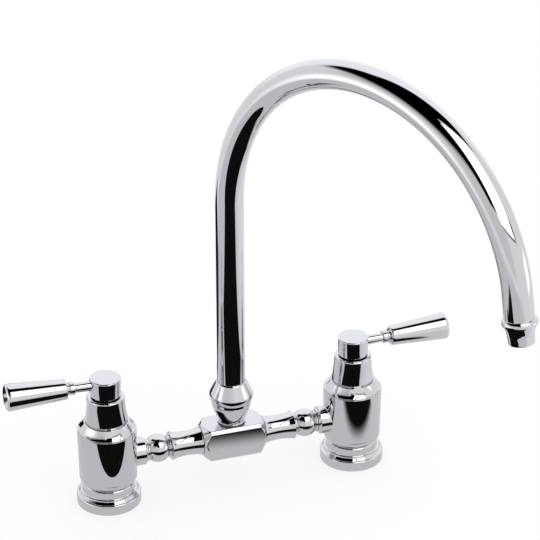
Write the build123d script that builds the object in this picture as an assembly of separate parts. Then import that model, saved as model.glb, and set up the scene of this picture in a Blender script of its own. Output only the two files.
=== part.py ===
from build123d import *
from math import cos, radians, sin, sqrt, tan
import os

# Bridge kitchen faucet, in millimetres. The deck it stands on is Z = 0, the bridge runs along X,
# the user stands at -Y, and the origin is on the deck, midway between the two inlet columns.

# ---- driving dimensions ---------------------------------------------------------------------
# layout
inlet_spacing = 203.0        # between the two column axes: the usual 8 inch hole centres
bridge_height = 38.7         # axis of the bridge above the deck

# fits
seat_gap = 0.05              # radial play of threads, spigots and pressed pieces
running_gap = 0.08           # radial play of pieces that turn in one another
swivel_gap = 0.3             # open gap between turned faces that pass each other
disc_film = 0.02             # water film between the two ceramic discs
groove_slack = 0.6           # half width of a ring's groove, in thicknesses of its ring

# base flange and its gasket
flange_radius = 25.4
flange_band_height = 7.7
flange_edge_round = 1.5
flange_slope_rise = 1.25
flange_step_inset = 3.3
flange_step_rise = 0.75
flange_neck_rise = 6.8
flange_neck_lip = 0.4        # how far the neck stands out past the foot of the body
flange_wall = 2.2
gasket_thickness = 2.0
gasket_width = 5.0

# column body
body_foot_radius = 19.6
body_heel_rise = 6.5         # height over which the foot swells into the barrel
body_heel_bulge = 1.1
body_lower_radius = 22.7
body_upper_radius = 23.4
body_barrel_height = 47.1    # from the foot to the edge of the shoulder
shoulder_step = 0.5
shoulder_rise = 9.1
shoulder_bulge = 1.5
bonnet_seat_radius = 17.1
boss_reach = 30.9            # from the column axis to the end of the boss
boss_radius = 11.1
boss_round = 1.8

# inlet and waterway
spigot_clearance_to_deck = 0.4
inlet_thread_radius = 10.48  # G 1/2 inlet, nominal
inlet_thread_depth = 15.0
inlet_wall = 3.2
seat_bore_radius = 6.0
port_bore_radius = 5.5       # waterway of the bridge
chamber_radius = 12.2
chamber_drop = 12.7          # floor of the valve chamber below the bridge axis
chamber_rise = 13.3          # ceiling of the valve chamber above the bridge axis

# ceramic valve cartridge
cartridge_barrel_radius = 9.8
cartridge_thread_rise = 0.6
cartridge_wall = 1.4
cartridge_collar_gap = 2.8   # between the collar and the inside of the bonnet cover
cartridge_collar_thickness = 3.0
cartridge_neck_radius = 7.6
cartridge_neck_length = 16.8
cartridge_window_height = 8.0
cartridge_window_angle = 70.0
cartridge_seal_thickness = 2.2
disc_thickness = 3.0
disc_port_angle = 70.0
disc_rim = 1.4               # ceramic left outside the ports
disc_core_radius = 1.95      # ceramic left in the middle
spindle_radius = 3.9
spindle_plate_thickness = 3.0
spindle_ring_thickness = 0.7
spindle_ring_drop = 3.4      # below the top of the cartridge
dog_width = 3.0
dog_depth = 1.2
dog_inset = 0.7              # from the rim of the disc

# bonnet cover
bonnet_foot_inset = 0.3      # from the edge of its seat
bonnet_waist_inset = 1.5
bonnet_waist_rise = 9.8
bonnet_flare_depth = 0.35
bonnet_rim_inset = 0.5
bonnet_height = 20.9
bonnet_rim_round = 1.7
bonnet_wall = 1.6
bonnet_hole_radius = 6.5

# handle hub
hub_gap = 0.7                # dark gap between the bonnet cover and the hub
hub_radius = 12.1
hub_taper = 0.3
hub_height = 15.5
hub_edge_round = 1.1
hub_dome = 0.4
hub_crown = 4.8              # of hub above the spindle
grub_screw_radius = 2.0
grub_screw_length = 5.0
grub_screw_socket = 2.0      # across flats
grub_screw_socket_depth = 2.5

# lever
lever_drop = 6.1             # axis of the lever below the top of the hub
lever_rise_deg = 1.4
stem_length = 12.3           # from the side of the hub to the ferrule
stem_hub_radius = 3.9
stem_end_radius = 3.6
stem_thread_radius = 2.9
stem_thread_wall = 2.4       # of hub between the spindle and the thread of the stem
stem_seat_depth = 1.6        # how far the full stem sinks into the hub
ferrule_length = 4.6
ferrule_radius = 5.1
ferrule_round = 0.9
ferrule_neck_length = 1.6
grip_length = 48.1
grip_small_radius = 7.9
grip_big_radius = 10.7
grip_round = 1.8
grip_end_round = 1.3
grip_dome = 1.0
grip_bore_depth = 16.0

# bridge arms
ball_radius = 11.1
neck_radius = 8.0
neck_bead_rise = 0.7
inner_bead_width = 2.2
outer_bead_width = 2.0
lip_radius = 11.4
lip_thickness = 0.4
lip_round = 1.6
lip_bulge = 0.3
trumpet_waist_radius = 9.7
trumpet_end_radius = 11.3
column_spigot_radius = 8.2
column_spigot_length = 9.5
block_spigot_radius = 8.4
block_spigot_length = 8.0
arm_ring_thickness = 0.8

# centre block
block_side = 27.5
block_half_length = 26.2
block_bevel = 2.3
block_end_radius = 12.6
block_cone_deg = 49.0        # slope of the turned ends, from the bridge axis
block_bore_rise = 2.75       # floor of the threaded bore above the bridge axis
block_washer_thickness = 1.0

# spout socket, screwed into the block
socket_shoulder = 1.5        # of the neck over the thread
socket_foot_rise = 0.2
socket_foot_height = 2.4
socket_foot_bulge = 0.5
socket_neck_wall = 1.7
socket_neck_length = 3.15
socket_cove_height = 2.0
socket_cove_width = 0.6
socket_cove_depth = 0.15
socket_bowl_height = 10.6
socket_bowl_bulge = 0.9
socket_ring_height = 5.4     # of the threaded ring above the bowl
socket_port_clearance = 1.0  # between the thread and the waterway of the bridge
cup_depth = 7.4
cup_margin = 1.7             # of the cup around the tube
cup_wall = 1.6

# spout nut
nut_joint_inset = 0.2
nut_joint_groove = 0.4
nut_skirt_wall = 1.8
nut_flare = 1.1
nut_skirt_height = 6.7
nut_cone_height = 11.1
nut_bulge = 0.2
nut_top_wall = 0.5

# spout swivel pieces
thrust_washer_thickness = 0.9
swivel_flange_thickness = 2.2
swivel_spigot_inset = 1.0    # from the inside of the tube
swivel_spigot_length = 12.0
swivel_spigot_wall = 2.7
swivel_upper_length = 9.0
swivel_ring_thickness = 1.6
swivel_ring_inset = 3.6      # from each end of the spigot
bearing_ring_height = 2.6

# spout
spout_radius = 11.0
spout_wall = 1.1
riser_length = 175.8         # from the flange of the foot to the bend
spout_bend_radius = 138.5
spout_bend_deg = 170.7
spout_straight_end = 17.2
spout_turn_deg = 61.7        # direction of the spout at rest, from +X towards the user

# outlet and aerator
outlet_spigot_length = 8.0
bead_radius = 13.1
bead_shoulder = 0.4          # of the bead over the tube
bead_crest = 2.9             # from the tube's end to the widest place
bead_edge_inset = 0.8
bead_height = 5.4
cove_length = 8.2
cove_depth = 0.6
nozzle_wall = 1.4
nozzle_taper = 0.4
nozzle_lip_length = 5.3
nozzle_edge_round = 0.6
aerator_radius = 8.5
aerator_length = 7.5
aerator_wall = 1.2
aerator_recess = 0.8
aerator_rib_count = 3
aerator_rib_height = 2.5
aerator_seal_thickness = 1.2
screen_thickness = 0.5
screen_hole_radius = 0.6
screen_ring_pitch = 2.6
screen_ring_count = 2

SIDES = {"left": -1, "right": 1}
EXTRA = 1.0                  # how far cutting tools run past the faces that they cut


# ---- shared operations ----------------------------------------------------------------------
def turned(start, *steps):
    """Turn a closed half-section about Z: each step is (radius, height), or
    (radius, height, bulge) for an arc, hollow where the bulge is positive."""
    edges = []
    here = start
    for radius, height, *bulge in (*steps, start):
        there = (radius, height)
        if bulge:
            edges.append(SagittaArc(here, there, bulge[0]))
        else:
            edges.append(Line(here, there))
        here = there
    outline = make_face([Plane.XZ * edge for edge in edges])
    return revolve(outline, Axis.Z)


def round_bulge(radius):
    """Bulge of the quarter round that takes an edge off by the same amount both ways."""
    return -radius * (1 - 1 / sqrt(2))


def crest_bulge(run, rise):
    """Bulge of an arc that has its crest at one end, over a run and a rise from the other."""
    curve = (run**2 + rise**2) / (2 * rise)
    return sqrt(curve**2 - (run**2 + rise**2) / 4) - curve


def rod(radius, low, high):
    """A plain cylinder on the Z axis between two heights."""
    return Pos(0, 0, low) * Cylinder(radius, high - low, align=(Align.CENTER, Align.CENTER, Align.MIN))


def tube(outer, inner, low, high):
    """A plain sleeve on the Z axis between two heights."""
    return turned((inner, low), (outer, low), (outer, high), (inner, high))


def ring_groove(shaft_radius, thickness, height):
    """Cutter for the groove of a sealing ring around a shaft."""
    half_width = groove_slack * thickness
    return tube(shaft_radius + EXTRA, shaft_radius - thickness, height - half_width, height + half_width)


def ring_seal(shaft_radius, thickness, height):
    """A round-section sealing ring that fills its groove, flush with the shaft."""
    return Pos(0, 0, height) * Torus(shaft_radius - thickness / 2, thickness / 2)


def at_column(side):
    """Place for pieces on a column's axis."""
    return Pos(SIDES[side] * inlet_spacing / 2, 0, 0)


def along_bridge(side):
    """Turn Z to point from the middle of the bridge out to one side."""
    return Pos(0, 0, bridge_height) * Rot(0, SIDES[side] * 90, 0)


def along_lever(side):
    """Turn Z to point along a lever, out from its column and slightly up."""
    return Pos(0, 0, lever_height) * Rot(0, SIDES[side] * (90 - lever_rise_deg), 0)


# ---- base flange ----------------------------------------------------------------------------
flange_step_radius = flange_radius - flange_step_inset
flange_neck_radius = body_foot_radius + flange_neck_lip
flange_round_top = flange_band_height + flange_edge_round
flange_step_low = flange_round_top + flange_slope_rise
flange_step_high = flange_step_low + flange_step_rise
flange_height = flange_step_high + flange_neck_rise
inlet_spigot_radius = inlet_thread_radius + inlet_wall
flange_bore_radius = inlet_spigot_radius + seat_gap


def base_flange(side):
    """Spun flange: tall band with a rounded edge, a step, and a coned neck under the body."""
    inside = flange_radius - flange_wall
    ceiling = flange_height - flange_wall
    flange = turned(
        (inside, 0),
        (flange_radius, 0),
        (flange_radius, flange_band_height),
        (flange_radius - flange_edge_round, flange_round_top, round_bulge(flange_edge_round)),
        (flange_step_radius, flange_step_low),
        (flange_step_radius, flange_step_high),
        (flange_neck_radius, flange_height),
        (flange_bore_radius, flange_height),
        (flange_bore_radius, ceiling),
        (flange_neck_radius - flange_wall, ceiling),
        (flange_step_radius - flange_wall, flange_band_height),
        (inside, flange_band_height - flange_wall),
    )
    return at_column(side) * flange


def base_gasket(side):
    """Flat rubber ring inside the flange band, flush with the deck."""
    outer = flange_radius - flange_wall - seat_gap
    return at_column(side) * tube(outer, outer - gasket_width, 0, gasket_thickness)


# ---- column ---------------------------------------------------------------------------------
shoulder_height = flange_height + body_barrel_height
bonnet_seat_height = shoulder_height + shoulder_rise
valve_seat_height = bridge_height - chamber_drop
chamber_height = bridge_height + chamber_rise
cartridge_thread_radius = cartridge_barrel_radius + cartridge_thread_rise


def column_barrel():
    """Outside of a column body, with its waterway and valve chamber turned out."""
    inlet_top = spigot_clearance_to_deck + inlet_thread_depth
    return turned(
        (inlet_thread_radius, spigot_clearance_to_deck),
        (inlet_spigot_radius, spigot_clearance_to_deck),
        (inlet_spigot_radius, flange_height),
        (body_foot_radius, flange_height),
        (body_lower_radius, flange_height + body_heel_rise, -body_heel_bulge),
        (body_upper_radius, shoulder_height),
        (body_upper_radius - shoulder_step, shoulder_height),
        (bonnet_seat_radius, bonnet_seat_height, -shoulder_bulge),
        (cartridge_thread_radius + seat_gap, bonnet_seat_height),
        (cartridge_thread_radius + seat_gap, chamber_height),
        (chamber_radius, chamber_height),
        (chamber_radius, valve_seat_height),
        (seat_bore_radius, valve_seat_height),
        (seat_bore_radius, inlet_top),
        (inlet_thread_radius, inlet_top),
    )


def column_body(side):
    """Cast column body with the round boss that takes the bridge arm."""
    inward = Pos(0, 0, bridge_height) * Rot(0, -SIDES[side] * 90, 0)
    boss = inward * turned(
        (0, chamber_radius),
        (boss_radius, chamber_radius),
        (boss_radius, boss_reach - boss_round),
        (boss_radius - boss_round, boss_reach, round_bulge(boss_round)),
        (0, boss_reach),
    )
    socket_floor = boss_reach - column_spigot_length
    socket = inward * rod(column_spigot_radius + seat_gap, socket_floor, boss_reach + EXTRA)
    port = inward * rod(port_bore_radius, chamber_radius - EXTRA, boss_reach)
    chamber = rod(chamber_radius, valve_seat_height, chamber_height)
    return at_column(side) * (column_barrel() + (boss - chamber) - socket - port)


bonnet_base_radius = bonnet_seat_radius - bonnet_foot_inset
bonnet_top = bonnet_seat_height + bonnet_height


def bonnet_cover(side):
    """Tapered cover over the valve: flared foot, rounded top rim and a hole for the spindle."""
    bonnet_waist_radius = bonnet_base_radius - bonnet_waist_inset
    waist_height = bonnet_seat_height + bonnet_waist_rise
    rim_radius = bonnet_waist_radius - bonnet_rim_inset
    ceiling = bonnet_top - bonnet_wall
    cover = turned(
        (bonnet_base_radius - bonnet_wall, bonnet_seat_height),
        (bonnet_base_radius, bonnet_seat_height),
        (bonnet_waist_radius, waist_height, bonnet_flare_depth),
        (rim_radius, bonnet_top - bonnet_rim_round),
        (rim_radius - bonnet_rim_round, bonnet_top, round_bulge(bonnet_rim_round)),
        (bonnet_hole_radius, bonnet_top),
        (bonnet_hole_radius, ceiling),
        (rim_radius - bonnet_wall, ceiling),
        (bonnet_waist_radius - bonnet_wall, waist_height),
    )
    return at_column(side) * cover


# ---- valve cartridge ------------------------------------------------------------------------
seal_top = valve_seat_height + cartridge_seal_thickness
fixed_disc_top = seal_top + disc_thickness
moving_disc_low = fixed_disc_top + disc_film
moving_disc_top = moving_disc_low + disc_thickness
plate_top = moving_disc_top + spindle_plate_thickness
window_low = plate_top + swivel_gap
window_high = window_low + cartridge_window_height
cartridge_bore_radius = cartridge_barrel_radius - cartridge_wall
disc_radius = cartridge_bore_radius - running_gap
spindle_bore_radius = spindle_radius + running_gap
cartridge_neck_top = bonnet_seat_height + cartridge_neck_length
spindle_ring_height = cartridge_neck_top - spindle_ring_drop


def wedge(radius, angle, low, high):
    """A pie slice about the Z axis, centred on the X axis, for cutting ports."""
    half_width = radius * tan(radians(angle / 2))
    outline = Polyline((0, 0), (radius, half_width), (radius, -half_width), close=True)
    return Pos(0, 0, low) * extrude(make_face(outline), high - low)


def cartridge_housing(side):
    """Brass cartridge barrel: water leaves by two side windows, the spindle by the top."""
    collar_radius = bonnet_base_radius - bonnet_wall - cartridge_collar_gap
    collar_top = bonnet_seat_height + cartridge_collar_thickness
    barrel_ceiling = window_high + cartridge_wall
    barrel = turned(
        (cartridge_bore_radius, seal_top),
        (cartridge_barrel_radius, seal_top),
        (cartridge_barrel_radius, chamber_height),
        (cartridge_thread_radius, chamber_height),
        (cartridge_thread_radius, bonnet_seat_height),
        (collar_radius, bonnet_seat_height),
        (collar_radius, collar_top),
        (cartridge_neck_radius, collar_top),
        (cartridge_neck_radius, cartridge_neck_top),
        (spindle_bore_radius, cartridge_neck_top),
        (spindle_bore_radius, barrel_ceiling),
        (cartridge_bore_radius, barrel_ceiling),
    )
    window = wedge(cartridge_barrel_radius + EXTRA, cartridge_window_angle, window_low, window_high)
    window -= rod(cartridge_bore_radius - EXTRA, window_low, window_high)
    windows = window + Rot(0, 0, 180) * window
    return at_column(side) * (barrel - windows)


def cartridge_seal(side):
    """Rubber ring that presses the cartridge on the valve seat."""
    return at_column(side) * tube(cartridge_barrel_radius, seat_bore_radius, valve_seat_height, seal_top)


def disc_ports(low, high, turn):
    """Two opposite openings that let the water through a ceramic disc."""
    reach = disc_radius - disc_rim
    port = wedge(reach, disc_port_angle, low - EXTRA, high + EXTRA)
    port &= tube(reach, disc_core_radius, low - EXTRA, high + EXTRA)
    return Rot(0, 0, turn) * port + Rot(0, 0, turn + 180) * port


def fixed_disc(side):
    """Lower ceramic disc, held still in the cartridge."""
    disc = rod(cartridge_bore_radius - seat_gap, seal_top, fixed_disc_top)
    return at_column(side) * (disc - disc_ports(seal_top, fixed_disc_top, 0))


def dogs(gap):
    """Two driving dogs under the spindle plate, grown by a gap for their slots."""
    outer = disc_radius - dog_inset
    blank = Box(
        outer - spindle_radius + 2 * gap,
        dog_width + 2 * gap,
        dog_depth + 2 * gap,
        align=(Align.CENTER, Align.CENTER, Align.MIN),
    )
    dog = Pos((outer + spindle_radius) / 2, 0, moving_disc_top - dog_depth - gap) * blank
    return dog + Rot(0, 0, 180) * dog


def moving_disc(side):
    """Upper ceramic disc, shut at rest: its ports lie a quarter turn off the lower ones."""
    disc = rod(disc_radius, moving_disc_low, moving_disc_top)
    disc -= disc_ports(moving_disc_low, moving_disc_top, 90)
    return at_column(side) * (disc - dogs(seat_gap))


hub_low = bonnet_top + hub_gap
hub_top = hub_low + hub_height
spindle_top = hub_top - hub_crown


def valve_spindle(side):
    """Turning spindle: ported plate with two dogs, a long shaft and a groove for its ring."""
    shaft = rod(disc_radius, moving_disc_top, plate_top)
    shaft -= disc_ports(moving_disc_top, plate_top, 90)
    shaft += rod(spindle_radius, moving_disc_top, spindle_top)
    shaft -= ring_groove(spindle_radius, spindle_ring_thickness, spindle_ring_height)
    return at_column(side) * (shaft + dogs(0))


def spindle_o_ring(side):
    """Small rubber ring that keeps the water below the handle."""
    return at_column(side) * ring_seal(spindle_radius, spindle_ring_thickness, spindle_ring_height)


# ---- handle ---------------------------------------------------------------------------------
lever_height = hub_top - lever_drop
stem_seat = hub_radius - stem_seat_depth
stem_thread_start = spindle_radius + stem_thread_wall


def grub_screw_place():
    """The clamping screw is at the back of the hub, away from the user, below the lever."""
    return Pos(0, 0, (hub_low + lever_height) / 2) * Rot(-90, 0, 0)


def handle_hub(side):
    """Turned hub that sits on the spindle, with a low domed top."""
    dome_low = hub_top - hub_dome
    crown_radius = hub_radius - hub_edge_round
    hub = turned(
        (0, hub_low),
        (hub_radius - hub_taper, hub_low),
        (hub_radius, dome_low - hub_edge_round),
        (crown_radius, dome_low, round_bulge(hub_edge_round)),
        (0, hub_top, crest_bulge(crown_radius, hub_dome)),
    )
    spindle_hole = rod(spindle_radius + seat_gap, hub_low - EXTRA, spindle_top + seat_gap)
    stem_hole = rod(stem_thread_radius + seat_gap, stem_thread_start, stem_seat)
    stem_hole += rod(stem_hub_radius + seat_gap, stem_seat, hub_radius + EXTRA)
    screw_hole = grub_screw_place() * rod(grub_screw_radius + seat_gap, 0, hub_radius + EXTRA)
    return at_column(side) * (hub - spindle_hole - along_lever(side) * stem_hole - screw_hole)


def hub_grub_screw(side):
    """Headless clamping screw with a hexagon socket."""
    start = spindle_radius + seat_gap
    end = start + grub_screw_length
    socket_floor = end - grub_screw_socket_depth
    socket = extrude(RegularPolygon(grub_screw_socket / sqrt(3), 6), grub_screw_socket_depth)
    screw = rod(grub_screw_radius, start, end) - Pos(0, 0, socket_floor) * socket
    return at_column(side) * (grub_screw_place() * screw)


# places along the lever are distances from the column axis
ferrule_start = hub_radius + stem_length
ferrule_end = ferrule_start + ferrule_length
grip_start = ferrule_end + ferrule_neck_length
grip_end = grip_start + grip_length
grip_bore_floor = grip_start + grip_bore_depth
ferrule_bore_radius = stem_end_radius + seat_gap


def lever_stem(side):
    """Thin tapered rod from the hub, through the ferrule, into the grip."""
    thread_end = stem_thread_start + seat_gap
    stem = turned(
        (0, thread_end),
        (stem_thread_radius, thread_end),
        (stem_thread_radius, stem_seat),
        (stem_hub_radius, stem_seat),
        (stem_hub_radius, hub_radius),
        (stem_end_radius, ferrule_start),
        (stem_end_radius, grip_bore_floor),
        (0, grip_bore_floor),
    )
    return at_column(side) * (along_lever(side) * stem)


def lever_ferrule(side):
    """Small rounded collar on the stem, just ahead of the grip."""
    neck = ferrule_radius - ferrule_round
    collar = turned(
        (ferrule_bore_radius, ferrule_start),
        (neck, ferrule_start),
        (ferrule_radius, ferrule_start + ferrule_round, round_bulge(ferrule_round)),
        (ferrule_radius, ferrule_end - ferrule_round),
        (neck, ferrule_end, round_bulge(ferrule_round)),
        (neck, grip_start),
        (ferrule_bore_radius, grip_start),
    )
    return at_column(side) * (along_lever(side) * collar)


def lever_grip(side):
    """Long coned grip, bored for the stem, with a low domed end."""
    crown_radius = grip_big_radius - grip_end_round
    grip = turned(
        (ferrule_bore_radius, grip_start),
        (grip_small_radius - grip_round, grip_start),
        (grip_small_radius, grip_start + grip_round, round_bulge(grip_round)),
        (grip_big_radius, grip_end - grip_end_round),
        (crown_radius, grip_end, round_bulge(grip_end_round)),
        (0, grip_end + grip_dome, crest_bulge(crown_radius, grip_dome)),
        (0, grip_bore_floor),
        (ferrule_bore_radius, grip_bore_floor),
    )
    return at_column(side) * (along_lever(side) * grip)


# ---- bridge ---------------------------------------------------------------------------------
# places along the bridge are distances from its middle
ball_chord = sqrt(ball_radius**2 - neck_radius**2)
boss_end = inlet_spacing / 2 - boss_reach
outer_neck = boss_end - outer_bead_width
ball_centre = outer_neck - ball_chord
inner_neck = ball_centre - ball_chord
lip_end = inner_neck - inner_bead_width
lip_edge = lip_end - lip_thickness
spigot_start = block_half_length - block_spigot_length
spigot_end = boss_end + column_spigot_length
column_ring_place = (boss_end + spigot_end) / 2
block_ring_place = (spigot_start + block_half_length) / 2


def trumpet_and_lip():
    """Spool-shaped length of an arm, its crisp lip, and the bead between lip and ball."""
    waist_depth = (lip_radius + trumpet_end_radius) / 2 - trumpet_waist_radius
    return turned(
        (0, block_half_length),
        (trumpet_end_radius, block_half_length),
        (lip_radius, lip_edge, waist_depth),
        (lip_radius - lip_round, lip_end, -lip_bulge),
        (neck_radius, lip_end),
        (neck_radius, inner_neck, -neck_bead_rise),
        (0, inner_neck),
    )


def ball_and_outer_bead():
    """The ball of an arm, and the bead between it and the boss of the column."""
    ball = Pos(0, 0, ball_centre) * Sphere(ball_radius)
    ball &= rod(ball_radius, inner_neck, outer_neck)
    bead = turned(
        (0, outer_neck),
        (neck_radius, outer_neck),
        (neck_radius, boss_end, -neck_bead_rise),
        (0, boss_end),
    )
    return ball + bead


def bridge_arm(side):
    """Turned arm from block to column: trumpet, lip, bead, ball and bead, and two spigots."""
    block_spigot = rod(block_spigot_radius, spigot_start, block_half_length)
    block_spigot -= ring_groove(block_spigot_radius, arm_ring_thickness, block_ring_place)
    column_spigot = rod(column_spigot_radius, boss_end, spigot_end)
    column_spigot -= ring_groove(column_spigot_radius, arm_ring_thickness, column_ring_place)
    waterway = rod(port_bore_radius, spigot_start - EXTRA, spigot_end + EXTRA)
    arm = trumpet_and_lip() + ball_and_outer_bead() + block_spigot + column_spigot
    return along_bridge(side) * (arm - waterway)


def arm_seals(side):
    """The two rubber rings of an arm, one on each spigot."""
    at_boss = ring_seal(column_spigot_radius, arm_ring_thickness, column_ring_place)
    at_block = ring_seal(block_spigot_radius, arm_ring_thickness, block_ring_place)
    return along_bridge(side) * Compound([at_boss, at_block])


# ---- spout socket, sizes that the block and the swivel share ---------------------------------
spout_inner_radius = spout_radius - spout_wall
swivel_spigot_radius = spout_inner_radius - swivel_spigot_inset
swivel_waterway_radius = swivel_spigot_radius - swivel_spigot_wall
socket_bore_radius = swivel_spigot_radius + running_gap
socket_neck_radius = socket_bore_radius + socket_neck_wall
block_thread_radius = socket_neck_radius - socket_shoulder
block_top = bridge_height + block_side / 2


def centre_block():
    """Square bar with bevelled edges and turned conical ends, bored as a tee."""
    bar = Box(2 * block_half_length, block_side, block_side)
    bar = chamfer(bar.edges().filter_by(Axis.X), block_bevel)
    past_corners = block_side
    slope_length = (past_corners - block_end_radius) / tan(radians(block_cone_deg))
    blank = turned(
        (0, -block_half_length),
        (block_end_radius, -block_half_length),
        (past_corners, -block_half_length + slope_length),
        (past_corners, block_half_length - slope_length),
        (block_end_radius, block_half_length),
        (0, block_half_length),
    )
    body = Pos(0, 0, bridge_height) * (bar & (Rot(0, 90, 0) * blank))
    for side in SIDES:
        socket = rod(block_spigot_radius + seat_gap, spigot_start, block_half_length + EXTRA)
        body -= along_bridge(side) * socket
        body -= along_bridge(side) * rod(port_bore_radius, 0, block_half_length)
    body -= rod(block_thread_radius + seat_gap, bridge_height + block_bore_rise, block_top + EXTRA)
    return body


def block_washer():
    """Thin sealing washer between the block and the spout socket."""
    return tube(socket_neck_radius, block_thread_radius + seat_gap, block_top, socket_low)


socket_low = block_top + block_washer_thickness
socket_foot_top = socket_low + socket_foot_height
socket_cove_low = socket_foot_top + socket_neck_length
socket_cove_top = socket_cove_low + socket_cove_height
socket_bowl_top = socket_cove_top + socket_bowl_height
socket_top = socket_bowl_top + socket_ring_height
cup_floor = socket_top - cup_depth
cup_radius = spout_radius + cup_margin
socket_thread_radius = cup_radius + cup_wall
nut_skirt_radius = socket_thread_radius + nut_skirt_wall
nut_bore_radius = spout_radius + running_gap
foot_low = cup_floor - swivel_spigot_length


def spout_socket():
    """Bowl on a small foot: it screws into the block and holds the foot of the spout."""
    thread_low = bridge_height + port_bore_radius + socket_port_clearance
    foot_radius = socket_neck_radius + socket_foot_rise
    step = foot_low - swivel_gap
    return turned(
        (swivel_waterway_radius, thread_low),
        (block_thread_radius, thread_low),
        (block_thread_radius, socket_low),
        (foot_radius, socket_low),
        (foot_radius, socket_foot_top, -socket_foot_bulge),
        (socket_neck_radius, socket_foot_top),
        (socket_neck_radius, socket_cove_low),
        (socket_neck_radius + socket_cove_width, socket_cove_top, socket_cove_depth),
        (nut_skirt_radius - nut_joint_inset, socket_bowl_top, -socket_bowl_bulge),
        (socket_thread_radius, socket_bowl_top),
        (socket_thread_radius, socket_top),
        (cup_radius, socket_top),
        (cup_radius, cup_floor),
        (socket_bore_radius, cup_floor),
        (socket_bore_radius, step),
        (swivel_waterway_radius, step),
    )


def spout_nut():
    """Double-coned ring nut that keeps the spout in its socket."""
    skirt_low = socket_bowl_top + nut_joint_groove
    widest = skirt_low + nut_skirt_height
    ceiling = socket_top + swivel_gap
    return turned(
        (socket_thread_radius + seat_gap, skirt_low),
        (nut_skirt_radius, skirt_low),
        (nut_skirt_radius + nut_flare, widest, -nut_bulge),
        (nut_bore_radius + nut_top_wall, widest + nut_cone_height),
        (nut_bore_radius, widest + nut_cone_height),
        (nut_bore_radius, ceiling),
        (socket_thread_radius + seat_gap, ceiling),
    )


# ---- spout swivel ---------------------------------------------------------------------------
washer_top = cup_floor + thrust_washer_thickness
swivel_flange_low = washer_top + disc_film
swivel_flange_top = swivel_flange_low + swivel_flange_thickness
swivel_ring_heights = [foot_low + swivel_ring_inset, cup_floor - swivel_ring_inset]


def thrust_washer():
    """Slippery washer that carries the weight of the spout."""
    return tube(cup_radius - seat_gap, socket_bore_radius, cup_floor, washer_top)


def bearing_ring():
    """Nylon ring around the tube, trapped between the flange of the foot and the nut."""
    low = swivel_flange_top + swivel_gap
    return tube(cup_radius - seat_gap, nut_bore_radius, low, low + bearing_ring_height)


def spout_foot():
    """Grooved brass foot brazed into the tube: it turns in the socket."""
    upper_radius = spout_inner_radius - seat_gap
    flange_edge = cup_radius - swivel_gap
    upper_end = swivel_flange_top + swivel_upper_length
    foot = turned(
        (swivel_waterway_radius, foot_low),
        (swivel_spigot_radius, foot_low),
        (swivel_spigot_radius, swivel_flange_low),
        (flange_edge, swivel_flange_low),
        (flange_edge, swivel_flange_top),
        (upper_radius, swivel_flange_top),
        (upper_radius, upper_end),
        (swivel_waterway_radius, upper_end),
    )
    for height in swivel_ring_heights:
        foot -= ring_groove(swivel_spigot_radius, swivel_ring_thickness, height)
    return foot


def spout_o_rings():
    """Two rubber rings in the grooves of the spout's foot."""
    rings = []
    for height in swivel_ring_heights:
        rings.append(ring_seal(swivel_spigot_radius, swivel_ring_thickness, height))
    return Compound(rings)


# ---- spout ----------------------------------------------------------------------------------
spout_rise = swivel_flange_top + riser_length


def bend_point(turn):
    """Point of the centre line in the XZ plane, where the bend has turned this far."""
    return spout_bend_radius * (1 - cos(turn)), spout_rise + spout_bend_radius * sin(turn)


def spout_path():
    """Centre line of the swan neck in the XZ plane: riser, one long bend, short straight end."""
    turn = radians(spout_bend_deg)
    shoulder = bend_point(0)
    bend_end = bend_point(turn)
    tip = (
        bend_end[0] + spout_straight_end * sin(turn),
        bend_end[1] + spout_straight_end * cos(turn),
    )
    riser = Line((0, swivel_flange_top), shoulder)
    bend = ThreePointArc(shoulder, bend_point(turn / 2), bend_end)
    straight = Line(bend_end, tip)
    return riser, bend, straight, tip


def spout_heading():
    """Turn of the whole spout about its riser, to its place at rest."""
    return Rot(0, 0, -spout_turn_deg)


def outlet_place():
    """Place at the end of the tube, with Z pointing along the falling water."""
    tip = spout_path()[3]
    return spout_heading() * Pos(tip[0], 0, tip[1]) * Rot(0, spout_bend_deg, 0)


def spout_tube():
    """Swan-neck tube of constant section."""
    riser, bend, straight, _ = spout_path()
    path = Wire([Plane.XZ * edge for edge in (riser, bend, straight)])
    start = Plane(origin=(0, 0, swivel_flange_top))
    section = start * (Circle(spout_radius) - Circle(spout_inner_radius))
    return spout_heading() * sweep(section, path)


# places along the outlet are distances from the end of the tube
cove_end = bead_height + cove_length
nozzle_length = cove_end + nozzle_lip_length
aerator_end = nozzle_length - aerator_recess
aerator_start = aerator_end - aerator_length
seal_start = aerator_start - aerator_seal_thickness
outlet_bore_radius = aerator_radius - aerator_wall


def spout_outlet():
    """Turned outlet brazed in the tube: rolled bead, coved neck and slightly tapered nozzle."""
    spigot_radius = spout_inner_radius - seat_gap
    shoulder_radius = spout_radius + bead_shoulder
    edge_radius = bead_radius - bead_edge_inset
    nozzle_radius = aerator_radius + nozzle_wall
    tip_radius = nozzle_radius - nozzle_taper
    outlet = turned(
        (outlet_bore_radius, -outlet_spigot_length),
        (spigot_radius, -outlet_spigot_length),
        (spigot_radius, 0),
        (shoulder_radius, 0),
        (bead_radius, bead_crest, crest_bulge(bead_crest, bead_radius - shoulder_radius)),
        (edge_radius, bead_height, crest_bulge(bead_height - bead_crest, bead_edge_inset)),
        (nozzle_radius, cove_end, cove_depth),
        (tip_radius, nozzle_length - nozzle_edge_round),
        (tip_radius - nozzle_edge_round, nozzle_length, round_bulge(nozzle_edge_round)),
        (aerator_radius + seat_gap, nozzle_length),
        (aerator_radius + seat_gap, seal_start),
        (outlet_bore_radius, seal_start),
    )
    return outlet_place() * outlet


def aerator_seal():
    """Flat rubber washer above the aerator."""
    return outlet_place() * tube(aerator_radius, outlet_bore_radius, seal_start, aerator_start)


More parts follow.
